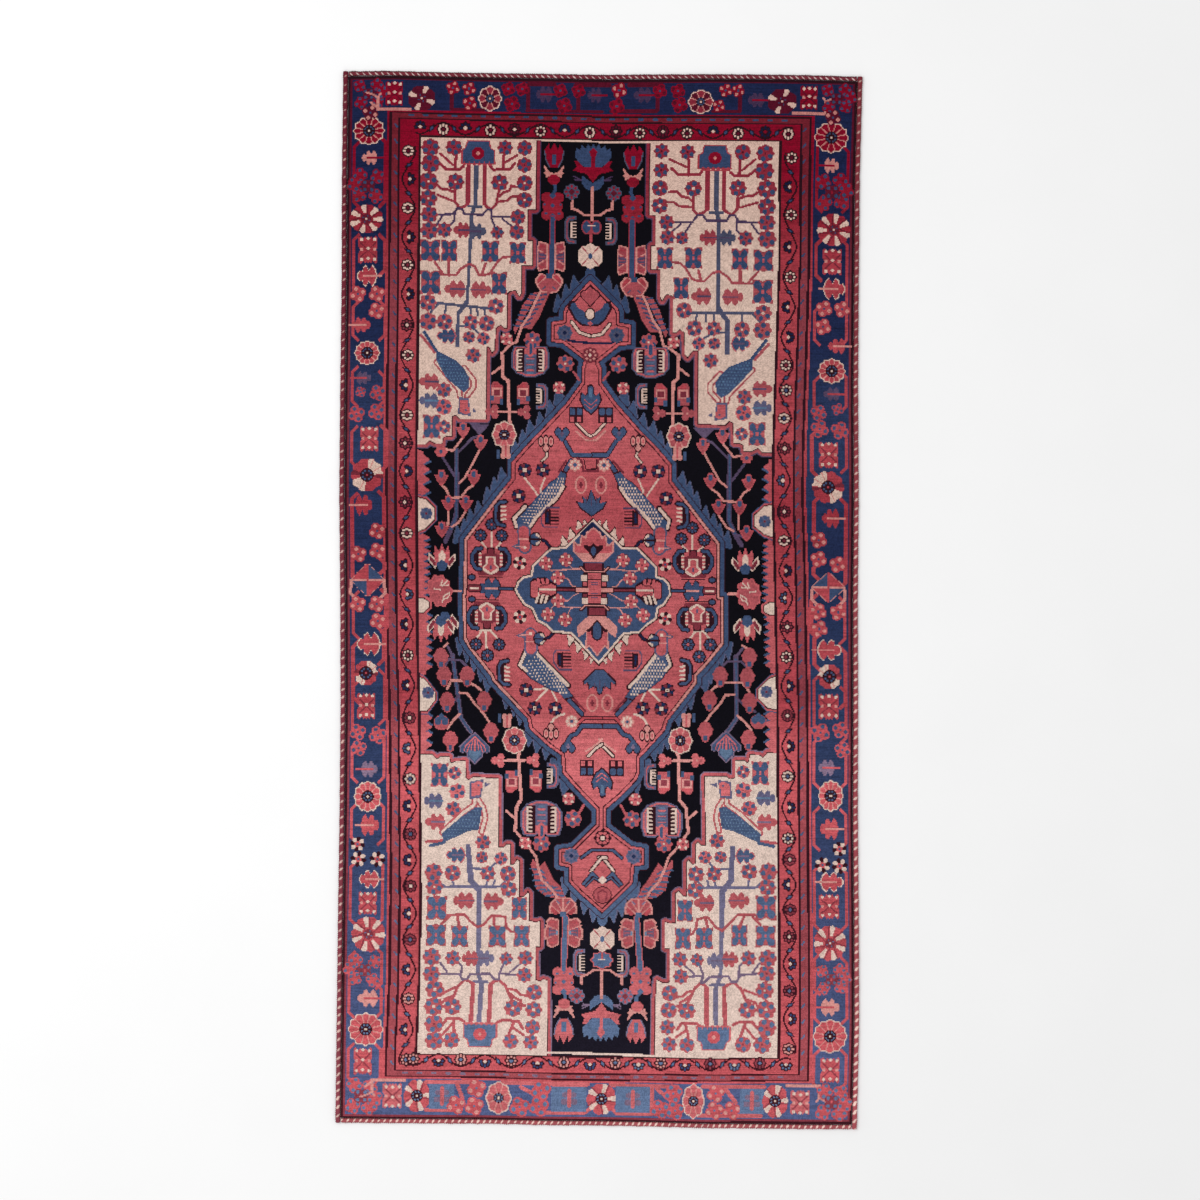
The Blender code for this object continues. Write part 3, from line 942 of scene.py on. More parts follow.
def corner_bird(pen, near):
    """A speckled bird, head down, with a double line round it."""
    if near:
        body = knots("120,206 123,227 134,229 160,241 162,232 140,214 127,205")
        band = ["120,229 117,216 119,206 124,198", "161,231 140,211 128,203 127,197"]
        tail, head, beak = (174, 244), (124, 184), "118,186 111,182.5 118,181"
        neck = knots("121,196 133,197 132,180 119,178")
    else:
        body = knots("121,226 130,234 153,243 153,232 140,217 128,206 122,203 117,208 116,218")
        band = ["121,227 111,216 111,209 119,200", "153,231 128,205 127,199"]
        tail, head, beak = (166, 260), (120, 186), "113,188 108,185 113,184"
        neck = knots("117,198 128,198 128,182 115,180")
    for route in band:
        pen.line(BRICK, route, 6.5)
    for route in band:
        pen.line(IVORY, route, 3.0)
    back = body[3] if near else body[2]
    pen.line(BRICK, [(back[0] + 2, back[1] - 2), (tail[0] + 3, tail[1] - 3)], 3)
    pen.line(BLUE, [back, tail], 3.2)
    pen.fill(TRUNK, neck)
    pen.fill(CORAL, neck * 0.72 + neck.mean(0) * 0.28)
    pen.fill(TRUNK, beak)
    pen.oval(CORAL, head, 4.5, 4)
    pen.oval(TRUNK, head, 1.2)
    pen.fill(BLUE, body)
    speckle(pen, body)


def speckle(pen, outline, dye=SKY, step=3.2):
    """Light dots in rows over a shape."""
    low, high = outline.min(0), outline.max(0)
    inner = outline.mean(0) + (outline - outline.mean(0)) * 0.86
    for row, b in enumerate(np.arange(low[1], high[1], step)):
        a = np.arange(low[0] + (row % 2) * step * 0.5, high[0], step)
        for spot in a[in_polygon(a, np.full(a.shape, b), inner)]:
            pen.oval(dye, (spot, b), 0.8)


# ---- the dark column between the corners ----
def column_half(pen, near):
    """Half of the dark column beside the axis: its flowers, combs and leaves from the end inwards."""
    dye = CORAL if near else RED
    tulip = pen.at((32, 442))
    tulip.fill(dye, "-8,-2 -9.5,6 -5,12.5 -4,6 0,14 4,6 5.5,12.5 10,6 8,-2 4,-11 -4,-11")
    for half in tulip.halves():
        half.line(TRUNK, "9.5,5 8,-4 4,-11", 1.2)
    tulip.box(BLUE, (-2.2, -8), (2.2, 2))
    wings = pen.at((32, 426))
    for half in wings.halves():
        half.fill(ROSE, "0,-1.6 4,-1 9.6,6.4 10.6,5 8,0.4 10,-1 7.6,-3.6 8.6,-6.4 4,-5 0,-4.4")
    pen.line(BLUE, "31,413 30,408 32,403", 3.2)
    wings.oval(dye, (0, -8), 5.8, 5)
    square = pen.at((32, 391))
    square.box(dye, (-5, -9), (5, 10))
    for b in (-8.6, 0.4, 9):
        for half in square.halves():
            half.oval(dye, (5.8, b), 5.6 if abs(b) > 1 else 4.4, 5)
    for point, size in (((0, 11), 2.6), ((0, 1), 1.7), ((-8, 2), 1.4), ((8, 2), 1.4), ((-6.6, -7), 1.4),
            ((6.6, -7), 1.4), ((0, -10.4), 3)):
        square.oval(BLUE, point, size)
    ring = pen.at((13, 407))
    ring.fill(TRUNK, scallop(8.2, 8.2, 8, 0.12))
    for point in fan(8, 5.2):
        ring.oval(RED, point, 1.4)
    ring.dot(WINE, 2.6)
    for stem, width in ((dye, 6.6), (BLUE, 4.6)):
        pen.line(stem, "31.6,379 31.6,324", width)
    for spot, way in ((22.4, -1), (40.6, 1)):
        leaf_panel(pen.at((spot, 340), mirror=way), near)
    hexagon = pen.at((34, 313))
    shape = fold("0,7 9,10.6 14,4 13.4,-1 8,-9 0,-10")
    if near:
        shape = fold("0,7 13.4,7 14.4,3 13,-3 8,-8.6 0,-10")
    hexagon.fill(ROSE, shape)
    hexagon.fill(BRICK, shape * 0.87)
    for half in hexagon.halves():
        half.fill(RED, "3.4,6.6 8.4,8.6 11.6,3.4 11,0.4")
    if near:
        for point in ((0, -9.6), (-8, -8), (8, -8)):
            hexagon.line(ROSE, [(0, 6), point], 1.2)
    for half in hexagon.halves():
        half.line(ROSE, "3,6.6 11.6,-1.4", 1.2)
        half.line(TRUNK, "3,-3 7,-6", 1.2)
    hexagon.box(BLUE, (-3, 5.4), (3, 9.6))
    feather(pen)
    for spot in ((49, 258), (19, 236)):
        pom(pen.at(spot), 9, BRICK, True)
    for spot in ((74, 258), (24, 212)):
        floret_of_eight(pen.at(spot), 6.8)
    pen.line(BRICK, "10,228 4,220", 2.4)
    urn(pen.at((51, 238)), near)
    comb_oval(pen.at((43, 204)))
    comb_oval(pen.at((10, 369), mirror=-1), 12)
    for a, way in ((61.5, 1), (84, -1)):
        comb_box(pen.at((a, 206), mirror=way))
    lines(pen, [(ROSE, 3.2, "79,245 78.5,222 74,218 73.5,180 73,174"), (ROSE, 2.4, "80,232 89,225"),
        (ROSE, 2.6, "62,187 86,187")])
    for a in (59, 88):
        trefoil = pen.at((a, 187))
        for point in fan(3, 4):
            trefoil.oval(BRICK if not near else CORAL, point, 3.6)
        trefoil.dot(ROSE, 1.4)
    rosette(pen.at((79.5, 164)), 12.5, 14, 8, (BRICK, CORAL), 5.5)
    stub = pen.at((78, 146))
    stub.both(ROSE, "0,8 3.4,8 4.4,-1 5.6,-4 2,-6.6 0,-4")
    stub.line(CORAL, "0,7 0,-3", 2.4)
    stub.box(BLUE, (5.6, -6), (9.4, 3))


def feather(pen):
    """A bent leaf on a pale rib."""
    left = knots("33,304 41,304 52,283 60,268 50,268 42,280 38,292")
    right = knots("45,304 52,303 60,290 64,276 68,268 66,262")
    pen.fill(BRICK, left)
    pen.fill(BRICK, right)
    rib = knots("43,304 47,296 53,280 60,270 64,254 70,252 79,245")
    for k in range(7):
        start = np.array([43.5 + 2.6 * k, 301 - 5.2 * k])
        pen.line(BLUE, [start, start + (-7, 1 + k * 0.4)], 1.8)
        pen.line(BLUE, [start + (2, 0), start + (9, 1)], 1.8)
    pen.line(ROSE, rib, 2.6)


def leaf_panel(pen, near):
    """An upright leaf beside a stem: pale edged, parted by slanting lines, its middle plum."""
    shape = knots("-5.2,13 4.2,15.4 5.8,6 5.8,-5 4.6,-15.4 -5.2,-12.6")
    if near:
        shape = knots("-6,12 2,15.4 6,13 6.4,8 9.4,4 9.4,-3 6.8,-7 7,-12 3,-15.4 -6,-13")
    pen.fill(ROSE, shape)
    pen.fill(BRICK, shape * (0.78, 0.9))
    pen.fill(PLUM, "4.4,5 -3.8,1.6 -3.8,-2 4.4,-6.4")
    for low, high in ((1.8, 6.6), (-2.6, -8)):
        pen.line(ROSE, [(-4.4, low), (shape[:, 0].max() - 1, high)], 1.2)
    for b in (9.6, 3, -0.6, -4, -10.6):
        pen.line(RED if abs(b) > 5 else BRICK, [(-2, b), (3, b + 0.6)], 1.2)
    if near:
        pen.box(SKY, (-5, -2.4), (-2.4, 2.4))


def teeth(pen, back, tip, places):
    """A pale comb: a back along b and a tooth to the tip at each place."""
    width = 1.3
    pen.line(CREAM, [(back, min(places)), (back, max(places))], width)
    for b in places:
        pen.line(CREAM, [(back, b), (tip, b + 0.3)], width)


def comb_oval(pen, height=11):
    """A bent plum leaf, and a pale comb in its hollow that points outwards."""
    route = knots("3,1 -2.6,0.94 -5,0.6 -5,-0.6 -2.6,-0.94 3,-1") * (1, height)
    pen.line(TRUNK, route, 4.6)
    pen.line(BRICK, route * (0.94, 1), 1.4)
    teeth(pen, 0, 4.4, np.linspace(-0.62, 0.62, 6) * height)


def comb_box(pen):
    """A red house-shaped flower with a framed square in it and blue corners."""
    pen.fill(BRICK, "-6.4,-11 -6.4,6 -3.6,11.4 1,10.6 6.4,6 6.4,-11")
    pen.fill(RED, "-3,5 -3.4,10 1,9.6 5,6 5,4")
    pen.box(ROSE, (-4.6, -4.4), (4.6, 4.6))
    pen.box(WINE, (-3, -2.8), (3.2, 3.2))
    for spot in ((-5, -5.6), (4.6, -9)):
        pen.box(BLUE, (spot[0] - 1.7, spot[1] - 2.6), (spot[0] + 1.7, spot[1] + 2.6))


def urn(pen, near):
    """A round urn: two arms that hold pale combs, and a speckled blue middle."""
    size = np.array([1.08, 1.16]) if near else np.ones(2)
    shape = fold("4,14 6,15.4 16.6,15 19,8 19,-6 14,-12.4 5,-15.8")
    for share, dye in ((1, TRUNK), (0.92, CORAL), (0.83, PLUM), (0.77, CORAL)):
        pen.fill(dye, shape * size * share)
    for half in pen.halves():
        half.box(INK, (6 * size[0], -11.4 * size[1]), (13.6 * size[0], 12.6 * size[1]))
        teeth(half, 13 * size[0], 9 * size[0], np.linspace(-9.6, 11, 7) * size[1])
    pen.box(TRUNK, (-6.4, -13 * size[1]), (6.4, 7.4))
    for row in range(7):
        pen.oval(CORAL if row % 2 else SKY, (0, 5.4 - 2.9 * row), 4.4, 0.8)
    pen.line(CORAL, "0,7 0,17", 5.4)
    pen.line(BLUE, "0,8 0,17", 3)


def column_middle(pen, near):
    """What stands on the axis between the end and the medallion."""
    top, red = (425, CORAL) if near else (440, RED)
    pen.fill(BLUE, fold("0,17 2.6,12 5,16.4 8,11.4 11.4,15 13,10 17,12.4 18.4,3 13,-4 8,-7 0,-7") + (0, top))
    for a, b in ((16, -18), (19, -16.4), (19, -19), (18, -21)):
        for half in pen.halves():
            half.line(PLUM, [(11, top - 20), (a, top + b)], 1.1)
    pen.fill(BLUE, fold("0,-23 8,-17.6 11.4,-15 11.4,-23 6.6,-29 0,-31") + (0, top))
    petals = fold("0,-6.6 10,-6.6 14.6,-1.4 18.8,-1 16.4,-6.4 19.8,-10.6 12.4,-12.6 6,-14 0,-22.6")
    pen.fill(red, petals + (0, top))
    pen.fill(red, fold("0,13 4,8 1.6,2 1.6,-8 0,-8") + (0, top))
    stem = top - 30
    pen.line(ROSE, [(0, stem + 3), (0, stem - 30)], 3)
    for half in pen.halves()[::-1]:
        half.line(ROSE, knots("20,-11 20,-19 15,-20 8,-25 0,-25") + (0, stem), 2.4)
    low = stem - 38
    pen.line(CORAL, [(0, low), (0, low - 13)], 3.4)
    if near:
        for dye, share in ((CORAL, 1), (BLUE, 0.86)):
            pen.fill(dye, scallop(11.6, 9.8, 8, 0.16) * share + (0, low + 3))
    for half in () if near else pen.halves():
        half.oval(BRICK, (4.8, low + 1), 5.2, 7.4)
        half.oval(BLUE, (4.8, low + 1), 3.8, 5.6)
    pen.box(BRICK, (-1.3, low - 6), (1.3, low + 2))
    pen.line(CREAM, [(-3, low + 2.6), (3, low + 2.6)], 1.3)
    rose = pen.at((0, 339 if near else 344))
    rose.fill(CREAM, four_ways("12,0 12,5.6 8.6,9.4 4,10.4 0,13.4"))
    for point in fan(8, 12, 13, 0):
        rose.line(BRICK, [(0, 0), point], 0.9)
    rose.dot(BLUE, 2, 3.4)


FIELD_EDGE = 182   # a little past the field's edge, under the borders
# For each quarter: how far out the teeth stand and their tips, their places along two stretches, a blossom.
EDGE_TEETH = [
    (169.5, 163, (134, 124, 114, 104), np.arange(58, -2, -6.8), (165, 80)),
    (175, 168, (138, 128, 118, 107), np.arange(60, -2, -6.8), (172, 84)),
    (171, 165, (142, 132, 122, 114), np.arange(63, 12, -7.6), (167, 90)),
    (173, 166.5, (147, 137, 129, 120), np.arange(69, 12, -8.2), (171, 95)),
]


def draw_field(chart):
    """The corners, the teeth on the field's edge, the medallion and the dark column."""
    for quarter in range(4):
        ivory_corner(chart, quarter)
    for quarter, (inner, tip, first, second, flower) in enumerate(EDGE_TEETH):
        pen = plain_pen(chart, QUARTERS[quarter])
        for places in (first, second):
            sawteeth(pen, inner, tip, places, FIELD_EDGE)
        half_hexagon(pen, HALF_HEXAGONS[quarter], FIELD_EDGE, flower)
    for way, a, low, high in ((1, 165, -13, -1), (-1, 170, -15, -1)):
        pen = plain_pen(chart, (way, 1))
        for dye, grow in ((CORAL, 3.4), (INK, 1.1), (IVORY, 0)):
            inner = a + 6 - 0.5 * grow
            pen.fill(dye, [(FIELD_EDGE, high + grow), (inner, high + grow), (a - grow, -4),
                (a - grow, -10), (inner, low - grow), (FIELD_EDGE, low - grow)])
    chart.line(IVORY, "-66,459.6 60,457.4", 2)
    chart.line(IVORY, "-60,-452.6 60,-455", 2.4)
    medallion(chart)
    for quarter in range(4):
        near = quarter > 1
        pen = quarter_pen(chart, quarter)
        corner_tree(pen, quarter)
        corner_bird(quarter_pen(chart, quarter, 2) if near else pen, near)
        column_half(pen, near)
    for way in (1, -1):
        column_middle(axis_pen(chart, way), way < 0)


# ---- the trees at the field's sides ----
def bud(pen, size):
    """A round bud with a blue-hearted tip."""
    pen.fill(BRICK, fold("0,-1.15 0.5,-0.95 0.95,-0.2 0.9,0.4 0.5,0.76 0.38,1.35 0,1.5") * size)
    pen.fill(BLUE, fold("0,0.6 0.22,0.7 0.22,1.2 0,1.34") * size)


def tulip_bud(pen):
    """A bud whose outer lobes spread below a blue-hearted one."""
    size = 7
    shape = fold("0,1.3 0.46,1.16 0.52,0.56 1.05,0.62 0.6,-0.4 0,-1.1") * size
    pen.fill(CORAL, shape)
    pen.fill(BRICK, shape * 0.78)
    pen.fill(BLUE, fold("0,1.06 0.3,0.9 0.26,0.3 0,0.1") * size)


def lobed_bud(pen, size):
    """A round red bud with three blue lobes."""
    pen.oval(BRICK, (0, 0.1 * size), size, 0.95 * size)
    for half in pen.halves():
        half.oval(BLUE, (0.45 * size, -0.1 * size), 0.42 * size, 0.5 * size)
    pen.fill(BLUE, knots("-0.7,-0.3 0.7,-0.3 0,-1.1") * size)


FAR_TREE = [
    (PLUM, 4.6, "130,145 129.5,100 129.5,80 136,66 142,56"), (BLUE, 2.2, "130,145 129.5,80 136,66"),
    (PLUM, 2.6, "106,161 113,158 128,143"), (ROSE, 2.2, "104,149 110,138 120,120 127,114"),
    (ROSE, 2.2, "122,159 134,144 146,146"), (PLUM, 2.6, "132,120 145,137"),
    (ROSE, 2.4, "112,112 118,108 124,100 138,99 144,108 150,112"),
    (ROSE, 2.2, "119,86 127,74 134,70"), (ROSE, 2.2, "139,86 139,72"), (PLUM, 2.6, "136,66 147,64"),
]
FAR_BUDS = knots("103.5,154 123,164 111,119 149,118 119,93 140,93 147,67")
NEAR_TREE = [
    (PLUM, 4.4, "127,131 131,126 137,117 136.5,55"), (BLUE, 2.2, "127,131 137,117 136.5,55"),
    (PLUM, 2.6, "136.5,56 144,46"),
    (ROSE, 2.4, "105,122 112,112 121,102 126,93.5 135,93"), (ROSE, 2.4, "152,128 145,120 138,114"),
    (PLUM, 2.6, "137,96 145,104 156,110"),
    (ROSE, 2.4, "111,90 115,86 125,81 143,81 150,90"),
    (PLUM, 2.6, "122,66 128,60 142,60 148,66"), (ROSE, 2, "143,44 150,48"),
]
NEAR_BUDS = knots("106,129,108,133 149,137,148.5,142 110,98,115,102 150,100,152,103 121,74,132,77 "
    "148,75,155,77 150,55,158,59")


def drop_lily(pen):
    """The big blue flower that hangs from the tree's foot."""
    shape = fold("0,-16 3,-14 15.5,-1.5 15,4 11,5 10.4,2.6 8.4,5 7.4,9.6 4,12 0,17")
    pen.fill(PLUM, shape)
    pen.fill(BLUE, shape * 0.9)
    pen.both(SKY, "0,3 6,2 5.4,7.6 0,13")
    for half in pen.halves():
        for route in ("0,-11.4 9.6,-2 10.4,2", "2.6,-7 3.6,1", "5.2,-4 7.4,3"):
            half.line(CORAL, route, 1.1)
    pen.line(CORAL, "0,-8.6 0,2", 2)


def side_lily(pen):
    """A lily with pale-edged leaves beside a blue throat."""
    for half in pen.halves():
        half.fill(CREAM, "7,-11 14,-2 13,5 9,1 4,-6")
        half.fill(WINE, "7.5,-9 12.5,-2 11.8,2 8.6,-1 5.4,-6")
    pen.fill(CORAL, "-6,-8 -8,4 -6,12 -3,6 0,14 3,6 7,12 8,4 6,-8")
    pen.fill(CREAM, "-3,-4 -3.4,3 0,8 3.4,3 3,-4")
    pen.fill(BLUE, "-6,-6 0,-2 6,-6 3,-13 -3,-13")


def coral_palmette(pen):
    """A broad coral flower with pale strokes, on a bar from the medallion's side."""
    pen.line(ROSE, "-11,-2 -20,-2", 2.4)
    pen.fill(CORAL, scallop(12.4, 15, 9, 0.14, 0.5))
    pen.fill(BRICK, scallop(10.8, 13.2, 9, 0.14, 0.5))
    for route in ("7,-4 0,-3", "0,-7 -1.6,-12", "-2,-8 -6.4,-12", "-1,-7 -8,-8", "-1.6,9.6 -3,3 -8.4,0",
            "-3,6 -7,5 -9,1"):
        pen.line(CREAM, route, 1.3)
    for route in ("9,-1 2,0", "7,5 1,2", "3,11 0,4"):
        pen.line(CORAL, route, 1.1)


def side_tree(chart, quarter):
    """The flowering tree between the medallion and the field's side."""
    far = quarter_pen(chart, quarter)
    if quarter < 2:
        lines(far, FAR_TREE)
        far.fill(PLUM, "93,173.5 117,173.5 105,162")
        for spot in FAR_BUDS:
            tulip_bud(far.at(spot))
        flower = far.at((147, 143))
        flower.fill(CORAL, scallop(6.5, 6, 6, 0.2))
        flower.dot(BLUE, 1.8)
        side_lily(far.at((146, 40)))
        coral_palmette(far.at((149, 9)))
        side_lily(far.at((148, -27), scale=(1, -1)))
    else:
        pen = quarter_pen(chart, quarter, 2)
        lines(pen, NEAR_TREE)
        own = plain_pen(chart, QUARTERS[quarter])
        side = 0 if quarter == 2 else 2
        for row in NEAR_BUDS:
            bud(own.at(row[side:side + 2]), 8)
        lobed_bud(own.at(((159, 119), (157.5, 124))[quarter - 2]), 8)
        drop_lily(own.at(((127, 145), (124, 150))[quarter - 2]))
        lily = ((148, 28), (158, 31))[quarter - 2]
        side_lily(own.at(lily))
        coral_palmette(own.at(((150, -6), (158, -5))[quarter - 2]))


# ---- inside the medallion ----
def chain_flower(pen, size=7.5, petals=(NAVY, WINE)):
    """Dark-edged petals in two colours round a pale square."""
    pen.fill(INK, scallop(size, size, 8, 0.12))
    for k, point in enumerate(fan(8, 0.62 * size, start=0.4)):
        pen.oval(petals[k % 2], point, (0.25 if petals[0] == NAVY else 0.19) * size)
    pen.box(CREAM, (-1.6, -1.6), (1.6, 1.6))
    pen.dot(INK, 0.6)


def round_blue(pen):
    """Blue petals parted by dark lines, with a red heart."""
    size = 6.2
    pen.fill(INK, scallop(size + 0.7, size + 0.7, 8, 0.1))
    pen.fill(BLUE, scallop(size - 0.6, size - 0.6, 8, 0.16))
    for point in fan(8, size, start=np.pi / 8):
        pen.line(INK, [(0, 0), point], 0.9)
    pen.dot(CORAL, 1.5)


def framed_comb(pen):
    """A dark comb, its back outwards, with a thin line round it."""
    pen.line(PLUM, "-8.5,10 4,10 9.6,2.4 9.6,-5.4 7,-9.6 -6,-9.6", 1.7)
    pen.fill(INK, "0,8 4.6,7 6.4,3 5.8,-6.6 0,-7.6")
    pen.fill(NAVY, "2.4,5.4 4.4,4.6 4.6,-4.6 2.4,-5.4")
    for b in np.linspace(-6.3, 6.6, 5):
        pen.line(INK, [(2, b), (-7.4, b)], 1.5)


def arc_comb(pen):
    """A blue arc, its back outwards, with a dark bar and wavy pale teeth inside."""
    route = knots("-4,12 1.4,11.6 5,8 6,2 6,-6 4,-10.4 -2.5,-12")
    pen.line(INK, route, 5.4)
    pen.line(BLUE, route, 2.8)
    pen.line(INK, "1.4,8 2.6,4 2.6,-5 0.6,-8.6", 3.4)
    for b in (6.6, 2.6, -1.6, -5.8):
        pen.line(CREAM, [(0.4, b), (-3.6, b + 0.6)], 2.2)


def crest(pen):
    """A wine cup with a pale vase in it, between two arcs that have combs inside."""
    pen.both(INK, "0,15 3.6,15 3.6,9.4 0,9.4")
    pen.both(WINE, "0,13.6 2.4,13.6 3.4,9 9.4,8 9,-6 14.6,-7.6 12,-13.4 0,-13.4")
    pen.both(CREAM, "0,6.4 4.8,6 4.6,-1.4 9.2,-5.4 6.4,-9 0,-12.6")
    pen.both(CORAL, "0,4.8 3.2,4.4 3,-2 6.6,-5.6 0,-10")
    pen.line(PLUM, "0,-3 0,-7", 1.3)
    for half in pen.halves():
        lines(half, [
            (BLUE, 5.2, 3, "9.5,14 14,13.6 18,8 18.4,0 15,-6 10.5,-7"),
            (INK, 3.6, "10.6,10.6 13.4,9 14.2,3 12.4,-3")])
        for b in (8.6, 5, 1.4, -2.2):
            half.oval(CREAM, (10.6, b), 1.5, 1.1)
    pen.line(INK, "-11,-14.6 11,-14.6", 1.5)


def wedge_flower(pen):
    """A blue bud with two pale wedges, on a bent stem."""
    pen.line(INK, "-5,0 -9.6,-1.6 -14,-7.4", 3.8)
    pen.line(NAVY, "-7,-0.6 -9.6,-2 -13.4,-6.8", 1.6)
    pen.fill(INK, fold("7,0 6,4.4 1.6,7.4 -3,6.6 -6.8,0", across=False))
    for way in (-1, 1):
        pen.fill(BLUE, [(5.6, way * 0.8), (4.8, way * 3.8), (1.4, way * 5.6), (-3.6, way * 0.8)])
        pen.fill(CREAM, [(-5.4, way * 0.8), (0.4, way * 3.6), (-0.6, way * 6.2), (-2.8, way * 5)])


FAR_HEART = [
    (BLUE, 5, 3.2, "-8,145 8,145 17,159"),
    (CREAM, 4.6, 2.6, "-8,264 2,266 10,276"),
    (NAVY, 2.4, "-8,257 12,257 18,261"),
    (CREAM, 4, 2.2, "-8,164 -4,166 6,177"),
    (ROSE, 1.8, "-8,159.4 -3,160 6,169"),
    (CREAM, 3.6, 1.8, "39,152 37,144 42,138"),
    (WINE, 2.4, "-8,129 -1,129 -0.6,140 3,141.4"), (INK, 1, "-8,131 -2.8,131 -2.6,141"),
    (CREAM, 1.8, "39,121 44,110 43,103"), (CREAM, 1.8, "59,121 50,108 46,102"),
    (CREAM, 2.2, "93,66 93,49"), (CREAM, 2, "82,56 88,50"), (CREAM, 2, "105,55 99,50"),
]
NEAR_HEART = [
    (BLUE, 5.4, 3.4, "0,126 18,126 24,134 30,136 34,141"),
    (CREAM, 4.6, 2.4, "0,257.6 4.6,257.6 15,271"),
    (BLUE, 4.4, 2.4, "0,249.8 14,249.8 23,257.6"),
    (CREAM, 4.4, 2.4, "0,144 6,148 14,156"),
    (ROSE, 2, "0,139 8,146 16,151"),
    (CREAM, 2.2, "48,124 45,119 40,115 35,114"),
    (RED, 4.8, 2.8, "0,118 16,118 23,124"),
    (CREAM, 1.8, "42,100 46,92 46,89"), (CREAM, 1.8, "60,100 50,90 47,89"), (CREAM, 1.8, "47,89 61,89"),
    (CREAM, 2.2, "101,48 101,31"), (CREAM, 2, "91,37 96,31"), (CREAM, 2, "110,37 105,31"),
    (CREAM, 1.8, "95,30 107,30"),
]
FAR_BIRD = dict(
    body="15,126 22,128 27,121 34,117 58,90 68,78 66,71 58,70 50,80 28,102 20,114",
    belly="21,113 28,102 48,82 57,70", back="60,92 70,80 68,72", tail="9,139 20,124",
    red="14,139 24,128", neck="61,68 60,52", beak="63,57 73,52 63,48")
NEAR_BIRD = dict(
    body="26,97 34,99 40,93 45,92 63,78 70,66 66,56 58,52 50,62 36,82",
    belly="30,87 40,76 57,54 58,50", back="66,70 71,64 66,50", tail="18,114 34,96",
    red="15,111 30,94", neck="62,50 62.5,35", beak="66,40 75,36 66,32")


def heart_bird(pen, near):
    """A speckled bird with its tail up and its head down, its neck banded."""
    bird = {part: knots(points) for part, points in (NEAR_BIRD if near else FAR_BIRD).items()}
    lines(pen, [(BLUE, 5.6, 3.6, bird["tail"]), (WINE, 2.2, bird["red"])])
    for route in (bird["belly"], bird["back"]):
        pen.line(INK, route, 6)
    pen.fill(INK, bird["body"] * 1.06 - bird["body"].mean(0) * 0.06)
    pen.fill(BLUE, bird["body"])
    speckle(pen, bird["body"], CREAM, 3.0)
    for route in (bird["belly"], bird["back"]):
        pen.line(CREAM, route, 3)
    neck = bird["neck"]
    pen.line(TRUNK, neck, 13.4)
    pen.fill(TRUNK, bird["beak"])
    pen.line(CORAL, neck, 10)
    pen.line(ROSE, neck.mean(0) + [(-4.6, 0), (4.6, 0)], 1.6)
    pen.line(ROSE, bird["beak"].mean(0) + [(-6, -0.4), (3, 0)], 1.3)
    pen.oval(CREAM, neck[1] + (0, -0.6), 1.5)


def heart_quarter(chart, quarter):
    """One quarter of the medallion's inside: stems, a bird, flowers, combs and a crest."""
    near = quarter > 1
    pen = quarter_pen(chart, quarter)
    own = quarter_pen(chart, quarter, 2) if near else pen
    lines(own, NEAR_HEART if near else FAR_HEART)
    heart_bird(own, near)
    for spot in ((41, 129), (59, 129), (67, 102)):
        chain_flower(pen.at(spot))
    for spot in ((93, 73), (82, 62), (105, 61)):
        round_blue(pen.at(spot))
    crest(pen.at((94, 36)))
    arc_comb(pen.at((82, 85)))
    framed_comb(pen.at((33, 82)))
    wedge_flower(pen.at((50, 60)))
    heart = pen.at((20, 167))
    for dye, grow in ((INK, 1), (BLUE, 0)):
        for half in heart.halves():
            half.oval(dye, (3.8, 1.6), 3 + grow, 4 + grow)
        heart.fill(dye, fold([(0, 1), (5 + grow, -1), (1.6 + grow, -7), (0, -8)]))
    heart.oval(PLUM, (0, -0.4), 1.6, 3)
    tulip = pen.at((39, 157))
    for dye, grow in ((INK, 1), (ROSE, 0)):
        tulip.oval(dye, (0, -4.6), 2.6 + grow, 3.4 + grow)
        for side in (-1, 0, 1):
            tulip.oval(dye, (side * 5, 3 - abs(side)), 2.2 + grow, 4.6 + grow)
    for side in (-1, 0, 1):
        tulip.oval(CORAL, (side * 5, 3 - abs(side)), 1.1, 2.6)
    pale = pen.at((5, 135))
    pale.fill(ROSE, scallop(7, 7, 8, 0.15))
    for point in fan(8, 4.2):
        pale.oval(CREAM, point, 1.3)
    pale.dot(BLUE, 1.6)
    oval = pen.at((2, 115))
    oval.dot(ROSE, 6, 9)
    oval.dot(CORAL, 4.2, 7)
    oval.dot(WINE, 1.6, 3)
    chequer_floret(pen.at((66, 36)), 7.4)
    if not near:
        dusk_flower(pen.at((17, 265)))


